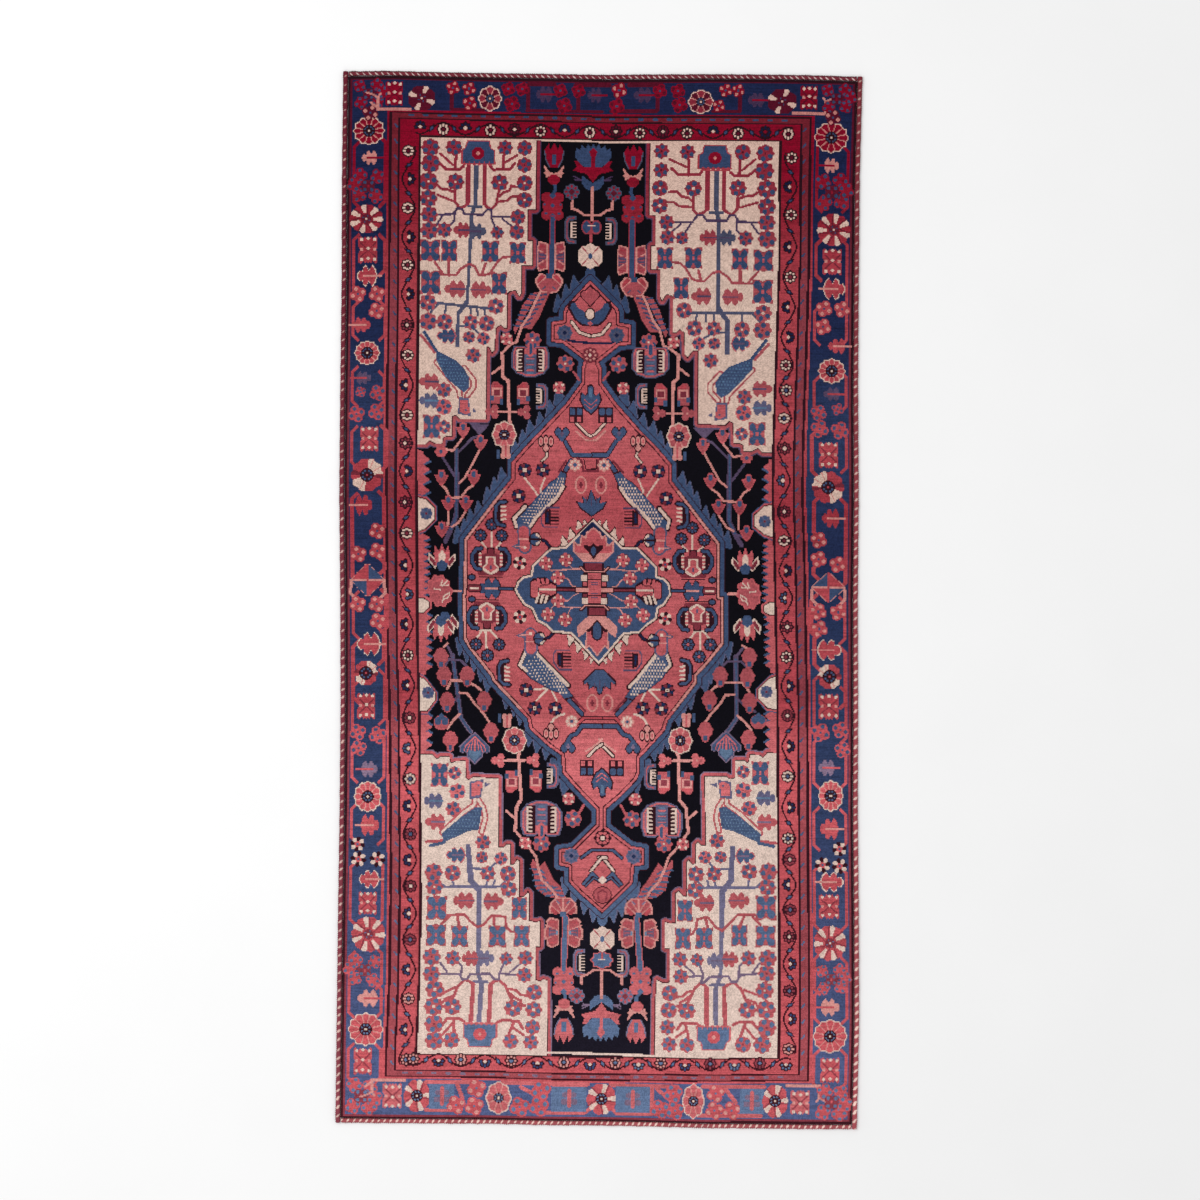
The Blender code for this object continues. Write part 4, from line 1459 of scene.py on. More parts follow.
def heart_axis(chart, way):
    """What stands on the axis inside the medallion."""
    pen = axis_pen(chart, way)
    near = way < 0
    if near:
        pen.oval(INK, (0, 295), 9.6, 8.8)
        pen.oval(BRICK, (0, 295), 8.6, 7.8)
        pen.line(WINE, "-3.6,300 -4.6,293 0,290 4.6,293 3.6,300", 1.4)
        for half in pen.halves():
            for low, width in ((0, 4.6), (4.6, 3.4)):
                leaf = [(3, 281), (10 - 0.3 * low, 273.4 + low), (18.6 - 0.5 * low, 284 + 0.4 * low)]
                lines(half, [(BLUE, width, width - 2, leaf)])
            dusk_flower(half.at((31, 256)))
        pen.both(CREAM, "0,285 4.4,280.4 0,276")
        pen.both(BRICK, "0,274 3,270 0,266")
        chain_flower(pen.at((0, 238)), 8.6, (CORAL, CORAL))
    else:
        for dye, share in ((INK, 1.14), (BLUE, 1)):
            arms = fold("0,-11 8,-10 14,-5 20,6 18,11 14.6,11.4 12,6 5,2 0,-2")
            pen.fill(dye, arms * share + (0, 286))
            head = fold("0,10 2.6,8 2.6,3 6,6.4 9,4 8.4,0 0,-9")
            pen.fill(INK if dye == INK else BRICK, head * share + (0, 303))
        pen.oval(INK, (0, 286), 5.2, 6.2)
        pen.oval(CREAM, (0, 286), 4.2, 5.2)
        pen.both(CORAL, "0,279 2.6,277 0,274")
        pen.fill(WINE, scallop(8.5, 8.5, 8, 0.15) + (0, 245))
        for point in fan(8, 5):
            pen.oval(ROSE, point + (0, 245), 1.2)
        pen.oval(CREAM, (0, 245), 1.6)
    lift = 182 if near else 200
    top = fold("0,14.6 2.8,12.6 2.8,6.6 5,4 8.4,7.4 10,0 6,-8 0,-13.4") + (0, lift)
    pen.fill(INK, (top - (0, lift)) * 1.14 + (0, lift))
    pen.fill(BLUE, top)
    pen.line(SKY, [(0, lift + 4), (0, lift + 11)], 2.4)
    for b in (0, -4):
        pen.line(CORAL, [(-6, lift + b), (0, lift + b - 5), (6, lift + b)], 1)
    square = 168 if near else 185
    for half in pen.halves():
        for a in (11.4, 18.4):
            box = half.at((a, square))
            box.box(INK, (-3.6, -8), (3.6, 8))
            box.both(BLUE, "0,6.2 1.6,7.4 2.6,6 2.6,0.6 0,-0.2")
            box.box(CORAL, (-2.1, -6.6), (2.1, -1.6))
    crown = (UPPER_CROWN, LOWER_CROWN)[near]
    pen.fill(INK, crown * (1.08, 1) + np.sign(crown - crown.mean(0)) * (0.3, 1.1))
    pen.fill(BLUE, crown)
    for a in (-5, 0, 5):
        pen.line(PLUM, [(a, crown.mean(0)[1] - 3 + abs(a) * 0.6), (a, crown.mean(0)[1] + 5)], 1)


UPPER_CROWN = fold("0,110 2.6,103 3.6,99 8.4,103 7.6,97 14.6,98.4 10.6,92 5,88 0,84")
LOWER_CROWN = fold("0,69.6 3.6,69.6 15.4,82 14.8,84.6 11.2,81.6 10,89 6.4,86 3,86.6 2.2,92 0,94.4")
FLOWERS = knots("-33,40 -53,36 -41,22 -41,-1 -51,-15 -34,-20 24,40 43,35 31,22 32,-1 26,-20 44,-15")
VINES = [
    "-14,31 -26,31 -31,36", "-21,31 -48,29 -53,33", "-20,12 -27,14 -31,21 -38,22",
    "-20,7 -26,4 -31,-1 -38,-1", "-14,-7 -28,-8 -32,-16", "-26,-8 -45,-6 -50,-11",
    "4,31 16,31 22,36", "12,31 37,29 42,33", "10,12 18,14 22,20 28,22",
    "10,7 16,4 22,0 28,-1", "8,-7 20,-8 25,-15", "18,-8 38,-6 43,-11",
]


def side_palmette(pen):
    """A lobed flower at the end of the cross bar, with a pale fringe on its near side."""
    pen.fill(INK, "-14,-5 -14,5 -9,8 -2,12.6 9,11 12.6,8 13.4,-8 8,-10 5,-15.6 -3,-14 -10,-8")
    for a in (-4, 0.4, 5):
        pen.line(CORAL, [(a - 1.6, 3), (a, 10)], 3)
        pen.line(CREAM, [(a - 1, -4), (a + 1.6, -12.6)], 2.8)
    pen.fill(CORAL, "-12.6,-3.6 -12.6,3.6 -8,6 4,5 4,-5 -8,-6")
    pen.fill(CORAL, "4.6,-7 4.6,7 8,9.4 11.6,7 12,-7 8,-8.6")
    pen.line(CREAM, "-12,0 3.4,0", 2)
    pen.line(INK, "-7,5.4 3,3.6", 0.9)
    pen.line(INK, "-7,-5.4 3,-3.6", 0.9)


def heart_inside(chart):
    """The small medallion's own pattern: two palmettes, a pillar between them, two side flowers and vines."""
    pen = plain_pen(chart)
    upper, lower, pillar = pen.at((-5.4, 37.6)), pen.at((-2, -15.8)), pen.at((-4.4, 10))
    pen.fill(NAVY, "-7,78 -19,66 -13,60 1,60 7,66")
    for route in VINES:
        pen.line(ROSE, route, 1.3)
    for spot in FLOWERS:
        floret_of_eight(pen.at(spot))
    upper.both(ROSE, "0,35.4 7,30.4 8.4,26 12.4,28 14,18.8 16,18 20,22 20.6,10.6 9.8,0")
    upper.both(CORAL, "0,33.6 5.8,29 7.6,23 11.2,25.4 12.6,16.6 15.6,15.8 18.8,19 18.6,10 0,9")
    upper.both(INK, "0,19.6 3.4,16 6.6,17.4 9.4,17.6 9,14 4.6,9.4 0,3.4")
    upper.both(BLUE, "0,16.6 2.4,13.6 2.6,10 0,6")
    upper.both(INK, "0,-0.2 10.2,-0.2 10.2,-8.4 0,-8.4")
    upper.both(WINE, "0,-0.4 8.8,-0.4 8.8,-7.4 0,-7.4")
    lower.both(ROSE, "0,0 8.6,0 20,-10.6 20,-15.4 18.2,-22 11,-15.6 12,-33.8 7.4,-30.8 0,-41")
    lower.both(CORAL, "0,-17 9.6,-15 10.4,-31 7.2,-28.8 0,-38.6")
    lower.both(INK, "0,-3.4 6,-10.6 10.6,-14.6 10,-16.4 5.6,-15.4 5.4,-22 0,-25.6")
    lower.both(BLUE, "0,-5.4 4.4,-11 3.6,-15 3.8,-21.4 0,-24")
    lower.both(INK, "0,8.6 9.8,8.6 9.8,0 0,0")
    lower.both(WINE, "0,8 8.4,8 8.4,0.4 0,0.4")
    for way, level in ((1, 18.6), (-1, -15.6)):
        hook = [(-13.6, level + way * 4), (-9.6, level), (9.6, level), (13.6, level + way * 4)]
        lines(pillar, [(ROSE, 3.6, 1.5, hook)])
    pillar.box(INK, (-12, -13.6), (12, 16.8))
    for low, high in ((10.6, 16.8), (-5, 10), (-13.4, -5.6)):
        pillar.box(CORAL, (-6.8, low), (6.8, high))
    for half in pillar.halves():
        for spot, size, dye in (((10.6, 12), 2.7, CREAM), ((9.6, 6.2), 2.2, CORAL), ((9.6, -5.6), 2, WINE),
                ((9.6, -10.8), 2.7, CREAM)):
            square = half.at(spot)
            square.box(INK, (-size - 0.7, -size - 0.7), (size + 0.7, size + 0.7))
            square.box(dye, (-size, -size), (size, size))
        half.line(INK, "10,0.4 40,0.4", 4.4)
        half.line(WINE, "18,0.4 40,0.4", 2)
        half.box(INK, (9, -2.6), (19.6, 3.4))
        half.box(ROSE, (6, -1.6), (18.6, 2.4))
    for b in (7.4, 5.2, -3.4, -7.6):
        pillar.line(PLUM, [(-3, b), (3, b)], 1)
    side_palmette(pen.at((50, 10)))
    side_palmette(pen.at((-56, 10), mirror=-1))


def draw_heart(chart):
    """The side trees, the medallion's inside and the small medallion with a leaf at each end of its bar."""
    for quarter in range(4):
        side_tree(chart, quarter)
    for quarter in range(4):
        heart_quarter(chart, quarter)
    for way in (1, -1):
        heart_axis(chart, way)
    heart_medallion(chart)
    heart_inside(chart)
    for sign in (1, -1):
        pen = plain_pen(chart, (sign, 1))
        a = 95 if sign > 0 else 109
        leaf = pen.at((a, 10))
        crab_leaf(leaf, 10.5, 10, BLUE, rim=INK, vein=ROSE)
        for dye, width in ((INK, 8), (WINE, 6.2), (CREAM, 1.8)):
            pen.line(dye, [(a + 12, 10), (a + 19, 10)], width)
        for b in (-1, 21):
            for dye, grow in ((INK, 1.2), (BLUE, 0)):
                pen.oval(dye, (a + 18, b), 3 + grow, 2.4 + grow)
        for dye, width in ((INK, 4.4), (BLUE, 2.4)):
            pen.line(dye, [(a - 10, 10), (a - 22, 10)], width)


# ---- dyes ----
# Each dye where it is deepest, at its middle strength and where it is faded, as sRGB.
DYES = {
    NIGHT: ("07050c", "0a0810", "1c1825"), INK: ("260a14", "30121c", "40161f"),
    NAVY: ("0f1836", "1a2748", "3a4a74"), GROUND: ("151d3e", "2b3859", "545f88"),
    BLUE: ("303f5e", "40506f", "64789a"), TRUNK: ("424459", "5c5a77", "827a94"),
    PLUM: ("3e2c48", "54455e", "927a92"), CORAL: ("983640", "b1555a", "d47074"),
    RED: ("7a0420", "a6424a", "d46268"), BRICK: ("802434", "9e4c52", "c46066"),
    GUARD: ("6a1c28", "863b44", "b2555c"), WINE: ("500a20", "742d38", "984450"),
    ROSE: ("b67670", "c2817b", "de9a94"), IVORY: ("c9a698", "ceb9ab", "e4cabe"),
    CREAM: ("c6a497", "ccb3a5", "dec2b6"), SKY: ("3a5c7a", "5a6f8a", "7f9cb8"),
}
REDS = (CORAL, RED, BRICK, GUARD, WINE, ROSE, PLUM)
LIGHTS = (IVORY, CREAM)
# How faded the wool is along the rug, from 0 for deep to 1 for faded: place along in knots, share.
RED_FADE = knots("-520,0.8 -440,0.85 -380,0.75 -340,0.65 -300,0.66 -260,0.7 -180,0.88 -140,0.8 -110,0.5 "
    "-95,0.42 -60,0.52 0,0.54 60,0.34 90,0.25 140,0.42 165,0.56 200,0.42 250,0.48 300,0.42 340,0.3 "
    "380,0.12 430,0 520,0")
BLUE_FADE = knots("-520,1 -455,0.95 -400,0.8 -325,0.75 -260,0.6 -195,0.55 -65,0.48 -40,0.35 40,0.14 "
    "90,0.25 150,0.45 215,0.3 260,0.1 400,0 520,0.05")
LIGHT_FADE = knots("-520,1 -455,0.95 -325,0.85 -195,0.75 -65,0.55 65,0.2 325,0.25 520,0")
ABRASH = {NIGHT: 0.3, INK: 0.3, IVORY: 0.25, CREAM: 0.25, CORAL: 1, RED: 1, GROUND: 0.9}


def linear(code):
    """An sRGB code as linear light."""
    light = np.array([int(code[k:k + 2], 16) for k in (0, 2, 4)]) / 255
    return np.where(light <= 0.04045, light / 12.92, ((light + 0.055) / 1.055) ** 2.4)


def dye_colours(dye, b):
    """The colour of each dye at its place along the rug, with the strength of its streaks as alpha."""
    colours = np.ones((len(dye), 4))
    for number, codes in DYES.items():
        mine = dye == number
        table = RED_FADE if number in REDS else LIGHT_FADE if number in LIGHTS else BLUE_FADE
        fade = along(table, b[mine])
        stops = np.array([linear(code) for code in codes])
        colours[mine, :3] = np.column_stack([np.interp(fade, (0, 0.5, 1), stops[:, c]) for c in range(3)])
        colours[mine, 3] = ABRASH.get(number, 0.6)
    return colours


# ---- from the chart to the floor ----
SEAM_DEPTH = 73          # knots from the edge: the pile is in two pieces that meet in the black line there
PILE_TOP = 10.2 * MM
PILE_FOOT = 2.8 * MM
BACK_TOP = 2.5 * MM
RIM_DROP = 1.3 * MM      # a piece of pile rounds off this much at its rim
PILE_REACH = (253.2, 520.8)
HALF_WIDTH, HALF_LENGTH = 792, 1587
SIDE_CORD = (17, 11)     # width and height, millimetres
END_CORD = (15, 9)
CORNER_GAP = 0.8
SIDE_RIDGE = 6.4         # from one ply of the winding to the next
END_RIDGE = 6.2
SIDE_PLIES, END_PLIES = 4, 3    # plies from one pale one to the next
PLY_SAMPLES = 7          # places along each ply where the surface is worked out
RIDGE_DEPTH = 0.2
WAVER = 0.07             # how much a cord swells and thins along its length
TUFT = 2.6               # the longest cut warp end past an end cord, millimetres
CORD_SIDES = 16
FLAT_LEVEL = 0.8
STRIPS = 12


def lie(a, b):
    """Places in knots become metres, by their share of the way between the uneven edges on each side."""
    a = np.clip(a, -PILE_REACH[0], PILE_REACH[0])
    b = np.clip(b, -PILE_REACH[1], PILE_REACH[1])
    across = (a + HALF_ACROSS) / (2 * HALF_ACROSS)
    down = (HALF_ALONG - b) / (2 * HALF_ALONG)
    steps = np.linspace(0, 1, len(LEFT_EDGE))
    left, right = np.interp(down, steps, LEFT_EDGE), np.interp(down, steps, RIGHT_EDGE)
    far, near = np.interp(across, steps, FAR_EDGE), np.interp(across, steps, NEAR_EDGE)
    return (left + across * (right - left)) * MM, (near + (1 - down) * (far - near)) * MM


def patches(area, longest):
    """Rectangles of equal cells: runs along each row, joined with equal runs in the rows above.

    Gives the first and end column, the first and end row, and the value. Cells below 0 are left out.
    """
    rows, columns = area.shape
    change = np.ones((rows, columns + 1), bool)
    change[:, 1:-1] = area[:, 1:] != area[:, :-1]
    change[:, :-1] |= np.arange(columns) % longest == 0
    row, first = np.nonzero(change[:, :-1])
    end = np.nonzero(change[:, 1:])[1] + 1
    value = area[row, first].astype(int)
    runs = np.column_stack([row // longest, first, end, value, row])[value >= 0]
    runs = runs[np.lexsort(runs.T[::-1])]
    fresh = np.ones(len(runs), bool)
    fresh[1:] = (runs[1:, :4] != runs[:-1, :4]).any(1) | (runs[1:, 4] != runs[:-1, 4] + 1)
    start = np.nonzero(fresh)[0]
    stop = np.append(start[1:], len(runs)) - 1
    return runs[start, 1], runs[start, 2], runs[start, 4], runs[stop, 4] + 1, runs[start, 3]


def mark_corners(rectangles, shape):
    """Which corners of the cells are corners of a rectangle."""
    marks = np.zeros((shape[0] + 1, shape[1] + 1), bool)
    first, end, low, high, _ = rectangles
    for column in (first, end):
        for row in (low, high):
            marks[row, column] = True
    return marks


def count_up(first, count, step=1):
    """first, first + step and so on, count numbers for each entry, end to end."""
    ends = np.cumsum(count)
    return np.repeat(first, count) + step * (np.arange(ends[-1]) - np.repeat(ends - count, count))


def ring_corners(rectangles, marks):
    """The corner numbers round each rectangle, with every marked corner on its sides, so that no seam is
    left open. Marked corners are numbered row by row."""
    first, end, low, high, _ = rectangles
    by_row = (np.cumsum(marks) - 1).reshape(marks.shape)
    by_column = (np.cumsum(marks.T) - 1).reshape(marks.T.shape).T
    row_number = by_row.T[marks.T]
    sides = (
        (by_row[low, first], by_row[low, end], 1, None),
        (by_column[low, end], by_column[high, end], 1, row_number),
        (by_row[high, end], by_row[high, first], -1, None),
        (by_column[high, first], by_column[low, first], -1, row_number))
    counts = [abs(stop - start) for start, stop, _, _ in sides]
    total = sum(counts)
    begin = np.cumsum(total) - total
    corners = np.empty(total.sum(), int)
    place = begin
    for (start, _, step, table), count in zip(sides, counts):
        numbers = count_up(start, count, step)
        corners[count_up(place, count)] = numbers if table is None else table[numbers]
        place = place + count
    return corners, total


def turned_over(totals):
    """The order of corners that runs round each face the other way."""
    return count_up(np.cumsum(totals) - 1, totals, -1)


def rim_walls(ring, total, numbers, count):
    """The edges that only one face of the pattern has, and a wall under each, down to the plain face."""
    last = np.zeros(len(ring), bool)
    last[np.cumsum(total) - 1] = True
    following = np.roll(ring, -1)
    following[last] = ring[np.cumsum(total) - total]
    open_edge = ~np.isin(ring * count + following, following * count + ring)
    start, stop = ring[open_edge], following[open_edge]
    below = np.full(count, -1)
    both = (numbers[0] >= 0) & (numbers[1] >= 0)
    below[numbers[0][both]] = numbers[1][both]
    return open_edge, np.column_stack([stop, start, below[start], below[stop]]).ravel()


def knotted_piece(name, dye, inside, pattern_level, plain_level, material, columns=1):
    """A closed slab over the cells that are inside. One face has the chart's pattern, a flat patch for each
    block of knots in one dye, and the other is plain. Walls join them. A cell is so many columns wide."""
    padded = np.pad(inside, 1).astype(int)
    around = padded[:-1, :-1] + padded[:-1, 1:] + padded[1:, :-1] + padded[1:, 1:]
    rim = (around > 0) & (around < 4)
    edge_cell = rim[:-1, :-1] | rim[:-1, 1:] | rim[1:, :-1] | rim[1:, 1:]
    figured = patches(np.where(inside, dye + DYE_COUNT * edge_cell, -1), 24)
    plain = patches(np.where(inside, int(IVORY), -1), 64)
    shared = rim & (mark_corners(figured, inside.shape) | mark_corners(plain, inside.shape))
    places, corners, totals, dyes = [], [], [], []
    offset = 0
    numbers = []
    for rectangles, level in ((figured, pattern_level), (plain, plain_level)):
        marks = mark_corners(rectangles, inside.shape) | shared
        ring, total = ring_corners(rectangles, marks)
        if level == plain_level:
            ring = ring[turned_over(total)]
        row, column = np.nonzero(marks)
        cell = np.column_stack([column * columns - 0.5 * COLUMNS, row - 0.5 * ROWS])
        x, y = lie(*cell.T)
        sink = np.where(rim[row, column] & (level == pattern_level),
            RIM_DROP * np.sign(plain_level - level), 0)
        places.append(np.column_stack([x, y, level + sink + ripple(x, y) * (level > 5 * MM), cell]))
        number = np.full(marks.shape, -1)
        number[row, column] = np.arange(len(row)) + offset
        numbers.append(number)
        corners.append(ring + offset)
        totals.append(total)
        dyes.append(np.repeat(rectangles[4] % DYE_COUNT, total))
        offset += len(row)
    open_edge, walls = rim_walls(corners[0], totals[0], numbers, offset)
    corners.append(walls)
    totals.append(np.full(len(walls) // 4, 4))
    dyes.append(np.repeat(dyes[0][open_edge], 4))
    corners, totals, dyes = (np.concatenate(part) for part in (corners, totals, dyes))
    places = np.concatenate(places)
    if pattern_level < plain_level:
        turned = turned_over(totals)
        corners, dyes = corners[turned], dyes[turned]
    piece = new_mesh(name, places[:, :3], corners, totals, material)
    piece.data.polygons.foreach_set("use_smooth", np.arange(len(totals)) < len(figured[0]))
    colours = piece.data.color_attributes.new(name="dye", type="FLOAT_COLOR", domain="CORNER")
    colours.data.foreach_set("color", dye_colours(dyes, places[corners, 4]).astype(np.float32).ravel())
    give_map(piece, "knots", places[corners, 3:5])
    give_map(piece, "OFBake", bake_places(places[corners, :2], len(figured[0]), len(plain[0]), totals))
    return piece


def bake_places(spots, figured, plain, totals):
    """The pattern fills the square. The plain face is a small copy in its corner, and each wall is a thin
    strip outside its edge."""
    low, high = spots.min(0), spots.max(0)
    unit = (spots - low) / (high - low)
    face = np.repeat(np.arange(len(totals)), totals)
    small = (face >= figured) & (face < figured + plain)
    spread = np.where(small[:, None], 0.002 + 0.016 * unit, 0.03 + 0.94 * unit)
    quads = spread[face >= figured + plain].reshape(-1, 4, 2)
    way = quads[:, 0] - quads[:, 1]
    outward = np.column_stack([way[:, 1], -way[:, 0]]) / np.linalg.norm(way, axis=1, keepdims=True)
    quads[:, 2:] += outward[:, None] * 0.006
    spread[face >= figured + plain] = quads.reshape(-1, 2)
    return spread


def ripple(x, y):
    """The rug doesn't lie dead flat: long low waves."""
    return 0.3 * MM * (np.sin(9 * x + 2 * np.sin(3 * y)) + np.sin(7 * y + 3 * x))


def new_mesh(name, places, corners, totals, material):
    """A piece from its places, the corners of its faces end to end, and how many each face has."""
    mesh = bpy.data.meshes.new(name)
    mesh.vertices.add(len(places))
    mesh.vertices.foreach_set("co", places.astype(np.float32).ravel())
    mesh.loops.add(len(corners))
    mesh.loops.foreach_set("vertex_index", corners.astype(np.int32))
    mesh.polygons.add(len(totals))
    mesh.polygons.foreach_set("loop_start", (np.cumsum(totals) - totals).astype(np.int32))
    mesh.update(calc_edges=True)
    mesh.materials.append(material)
    piece = bpy.data.objects.new(name, mesh)
    bpy.context.scene.collection.objects.link(piece)
    return piece


def give_map(piece, name, places):
    """A place in a flat map for each corner of the faces."""
    layer = piece.data.uv_layers.new(name=name)
    layer.data.foreach_set("uv", places.astype(np.float32).ravel())


# ---- cords ----
def side_line(table):
    """The middle of a side cord, from the far end to the near one, in millimetres."""
    inset = -np.sign(table[0]) * 0.5 * SIDE_CORD[0]
    ends = [np.interp(x + inset, np.linspace(-HALF_WIDTH, HALF_WIDTH, 11), edge)
            for x, edge in ((table[0], FAR_EDGE), (table[-1], NEAR_EDGE))]
    y = np.linspace(ends[0], ends[1], round(abs(ends[0] - ends[1]) * PLY_SAMPLES / SIDE_RIDGE))
    return np.column_stack([np.interp(y, np.linspace(-HALF_LENGTH, HALF_LENGTH, 11), table[::-1]) + inset, y])


def end_line(table):
    """The middle of an end cord, from the left side to the right one, in millimetres."""
    inset = -np.sign(table[0]) * 0.5 * END_CORD[0]
    steps = np.linspace(-HALF_LENGTH, HALF_LENGTH, len(LEFT_EDGE))
    ends = ((table[0], LEFT_EDGE), (table[-1], RIGHT_EDGE))
    x = np.array([np.interp(y + inset, steps, edge[::-1]) for y, edge in ends])
    x = x + (SIDE_CORD[0] + CORNER_GAP) * np.array([1, -1])
    x = np.linspace(*x, round((x[1] - x[0]) * PLY_SAMPLES / END_RIDGE))
    return np.column_stack([x, np.interp(x, np.linspace(-HALF_WIDTH, HALF_WIDTH, 11), table) + inset])


def wrapped_cord(name, line, size, ridge, slant, material, tuft_side=0):
    """An oval carried along a line on the floor, with yarn laid round it.

    The reach from the middle swells and sinks once for each ridge of yarn, and wavers by two slow waves.
    Round the cord a ridge moves along by its own width slant times. The oval is cut flat where it lies on
    the floor. On the tuft side, 1 for right of the line and -1 for left, cut warp ends stand out here and
    there.
    """
    run = np.concatenate([[0], np.cumsum(np.hypot(*np.diff(line, axis=0).T))])
    way = np.gradient(line, axis=0)
    way /= np.linalg.norm(way, axis=1, keepdims=True)
    right = np.column_stack([way[:, 1], -way[:, 0]])
    around = np.arange(CORD_SIDES) / CORD_SIDES
    turn = 2 * np.pi * around
    phase = 2 * np.pi * (run[:, None] / ridge + slant * around)
    reach = 1 - RIDGE_DEPTH * (0.5 - 0.5 * np.cos(phase))
    reach *= 1 - WAVER + WAVER * (np.sin(run / 9) * np.sin(run / 31 + 1))[:, None]
    reach[[0, -1]] *= 0.7
    half = size[1] / (1 + FLAT_LEVEL)
    across = 0.5 * size[0] * np.cos(turn) * reach
    tufts = TUFT * np.random.default_rng(len(name)).random(len(line)) ** 3
    across += tuft_side * tufts[:, None] * np.clip(tuft_side * np.cos(turn), 0, 1) ** 6
    height = half * (np.maximum(np.sin(turn) * reach, -FLAT_LEVEL) + FLAT_LEVEL)
    spots = line[:, None] + right[:, None] * across[..., None]
    grid = np.dstack([spots, height]) * MM
    number = np.arange(len(line) * CORD_SIDES).reshape(len(line), CORD_SIDES)
    after = np.roll(number, -1, axis=1)
    quads = np.stack([number[:-1], number[1:], after[1:], after[:-1]], -1)
    corners = np.concatenate([quads.ravel(), number[0], number[-1][::-1]])
    totals = np.append(np.full(quads.size // 4, 4), (CORD_SIDES, CORD_SIDES))
    cord = new_mesh(name, grid.reshape(-1, 3), corners, totals, material)
    cord.data.polygons.foreach_set("use_smooth", totals == 4)
    place = run[corners // CORD_SIDES]
    share = around[corners % CORD_SIDES] + (np.arange(len(corners)) % 4 > 1) * (corners % CORD_SIDES == 0)
    share[quads.size:] = 0
    give_map(cord, "lay", np.column_stack([place, share]))
    strip = place / run[-1] * STRIPS
    number = np.repeat(np.minimum(np.floor(strip[:quads.size].reshape(-1, 4).mean(1)), STRIPS - 1), 4)
    bake = np.column_stack([0.02 + 0.96 * (strip[:quads.size] - number),
        (number + 0.05 + 0.9 * share[:quads.size]) / STRIPS])
    disc = 0.004 * np.column_stack([np.cos(turn), np.sin(turn)])
    give_map(cord, "OFBake", np.concatenate([bake, disc + (0.992, 0.02), disc[::-1] + (0.992, 0.04)]))
    return cord


# ---- finishes ----
class Wire:
    """A node's output that can be used in sums: each operator adds a Math node."""

    def __init__(self, finish, socket):
        self.finish = finish
        self.socket = socket

    def maths(self, operation, first, second=None):
        values = {0: first} if second is None else {0: first, 1: second}
        return self.finish.node("ShaderNodeMath", {"operation": operation}, values)

    def __add__(self, other):
        return self.maths("ADD", self, other)

    def __mul__(self, other):
        return self.maths("MULTIPLY", self, other)

    def __sub__(self, other):
        return self.maths("SUBTRACT", self, other)

    def __rsub__(self, other):
        return self.maths("SUBTRACT", other, self)

    def __truediv__(self, other):
        return self.maths("DIVIDE", self, other)

    def __mod__(self, other):
        return self.maths("FLOORED_MODULO", self, other)

    def __lt__(self, other):
        return self.maths("LESS_THAN", self, other)

    __radd__ = __add__
    __rmul__ = __mul__

    def floor(self):
        return self.maths("FLOOR", self)

    def absolute(self):
        return self.maths("ABSOLUTE", self)

    def parts(self):
        node = self.finish.plain_node("ShaderNodeSeparateXYZ", {}, {0: self})
        return [Wire(self.finish, output) for output in node.outputs]


class Finish:
    """A material and the means to wire it."""

    def __init__(self, name, roughness, sheen):
        self.material = bpy.data.materials.new(name)
        self.material.use_nodes = True
        self.tree = self.material.node_tree
        self.shader = self.tree.nodes["Principled BSDF"]
        self.set(self.shader, {"Roughness": roughness, "Sheen Weight": sheen, "Sheen Roughness": 0.5,
            "Specular IOR Level": 0.05})

    def set(self, node, values):
        for key, value in values.items():
            if isinstance(value, Wire):
                self.tree.links.new(value.socket, node.inputs[key])
            else:
                node.inputs[key].default_value = value

    def plain_node(self, kind, settings, values):
        node = self.tree.nodes.new(kind)
        for key, value in settings.items():
            setattr(node, key, value)
        self.set(node, values)
        return node

    def node(self, kind, settings=None, values=None, output=0):
        node = self.plain_node(kind, settings or {}, values or {})
        return Wire(self, node.outputs[output])

    def uv(self, name):
        return self.node("ShaderNodeUVMap", {"uv_map": name})

    def point(self, x, y, z=0.0):
        return self.node("ShaderNodeCombineXYZ", {}, {0: x, 1: y, 2: z})

    def noise(self, point, scale, detail=2.0, roughness=0.5):
        values = {"Vector": point, "Scale": scale, "Detail": detail, "Roughness": roughness}
        return self.node("ShaderNodeTexNoise", {"noise_dimensions": "3D"}, values)

    def mix(self, factor, first, second):
        return self.node("ShaderNodeMix", {"data_type": "RGBA"}, {0: factor, 6: first, 7: second}, 2)

    def scaled(self, colour, factor):
        return self.node("ShaderNodeVectorMath", {"operation": "SCALE"}, {0: colour, "Scale": factor})

    def bump(self, height, distance):
        normal = self.node("ShaderNodeBump", {}, {"Height": height, "Distance": distance, "Strength": 1.0})
        self.set(self.shader, {"Normal": normal})

    def paint(self, colour):
        self.set(self.shader, {"Base Color": colour})

    def object_point(self):
        return self.node("ShaderNodeTexCoord", {}, {}, "Object")


WEFT_COLOUR = (0.42, 0.33, 0.27, 1)
PILE_FIBRES, BACK_FIBRES, CORD_FUZZ = 1400.0, 1100.0, 500.0   # waves of grain in a metre


def cushion(column, row):
    """A height that is 1 in a knot's middle and falls to nothing at its sides."""
    across, down = column % 1.0 - 0.5, row % 1.0 - 0.5
    return (1 - 4 * (across * across)) * (1 - 4 * (down * down))


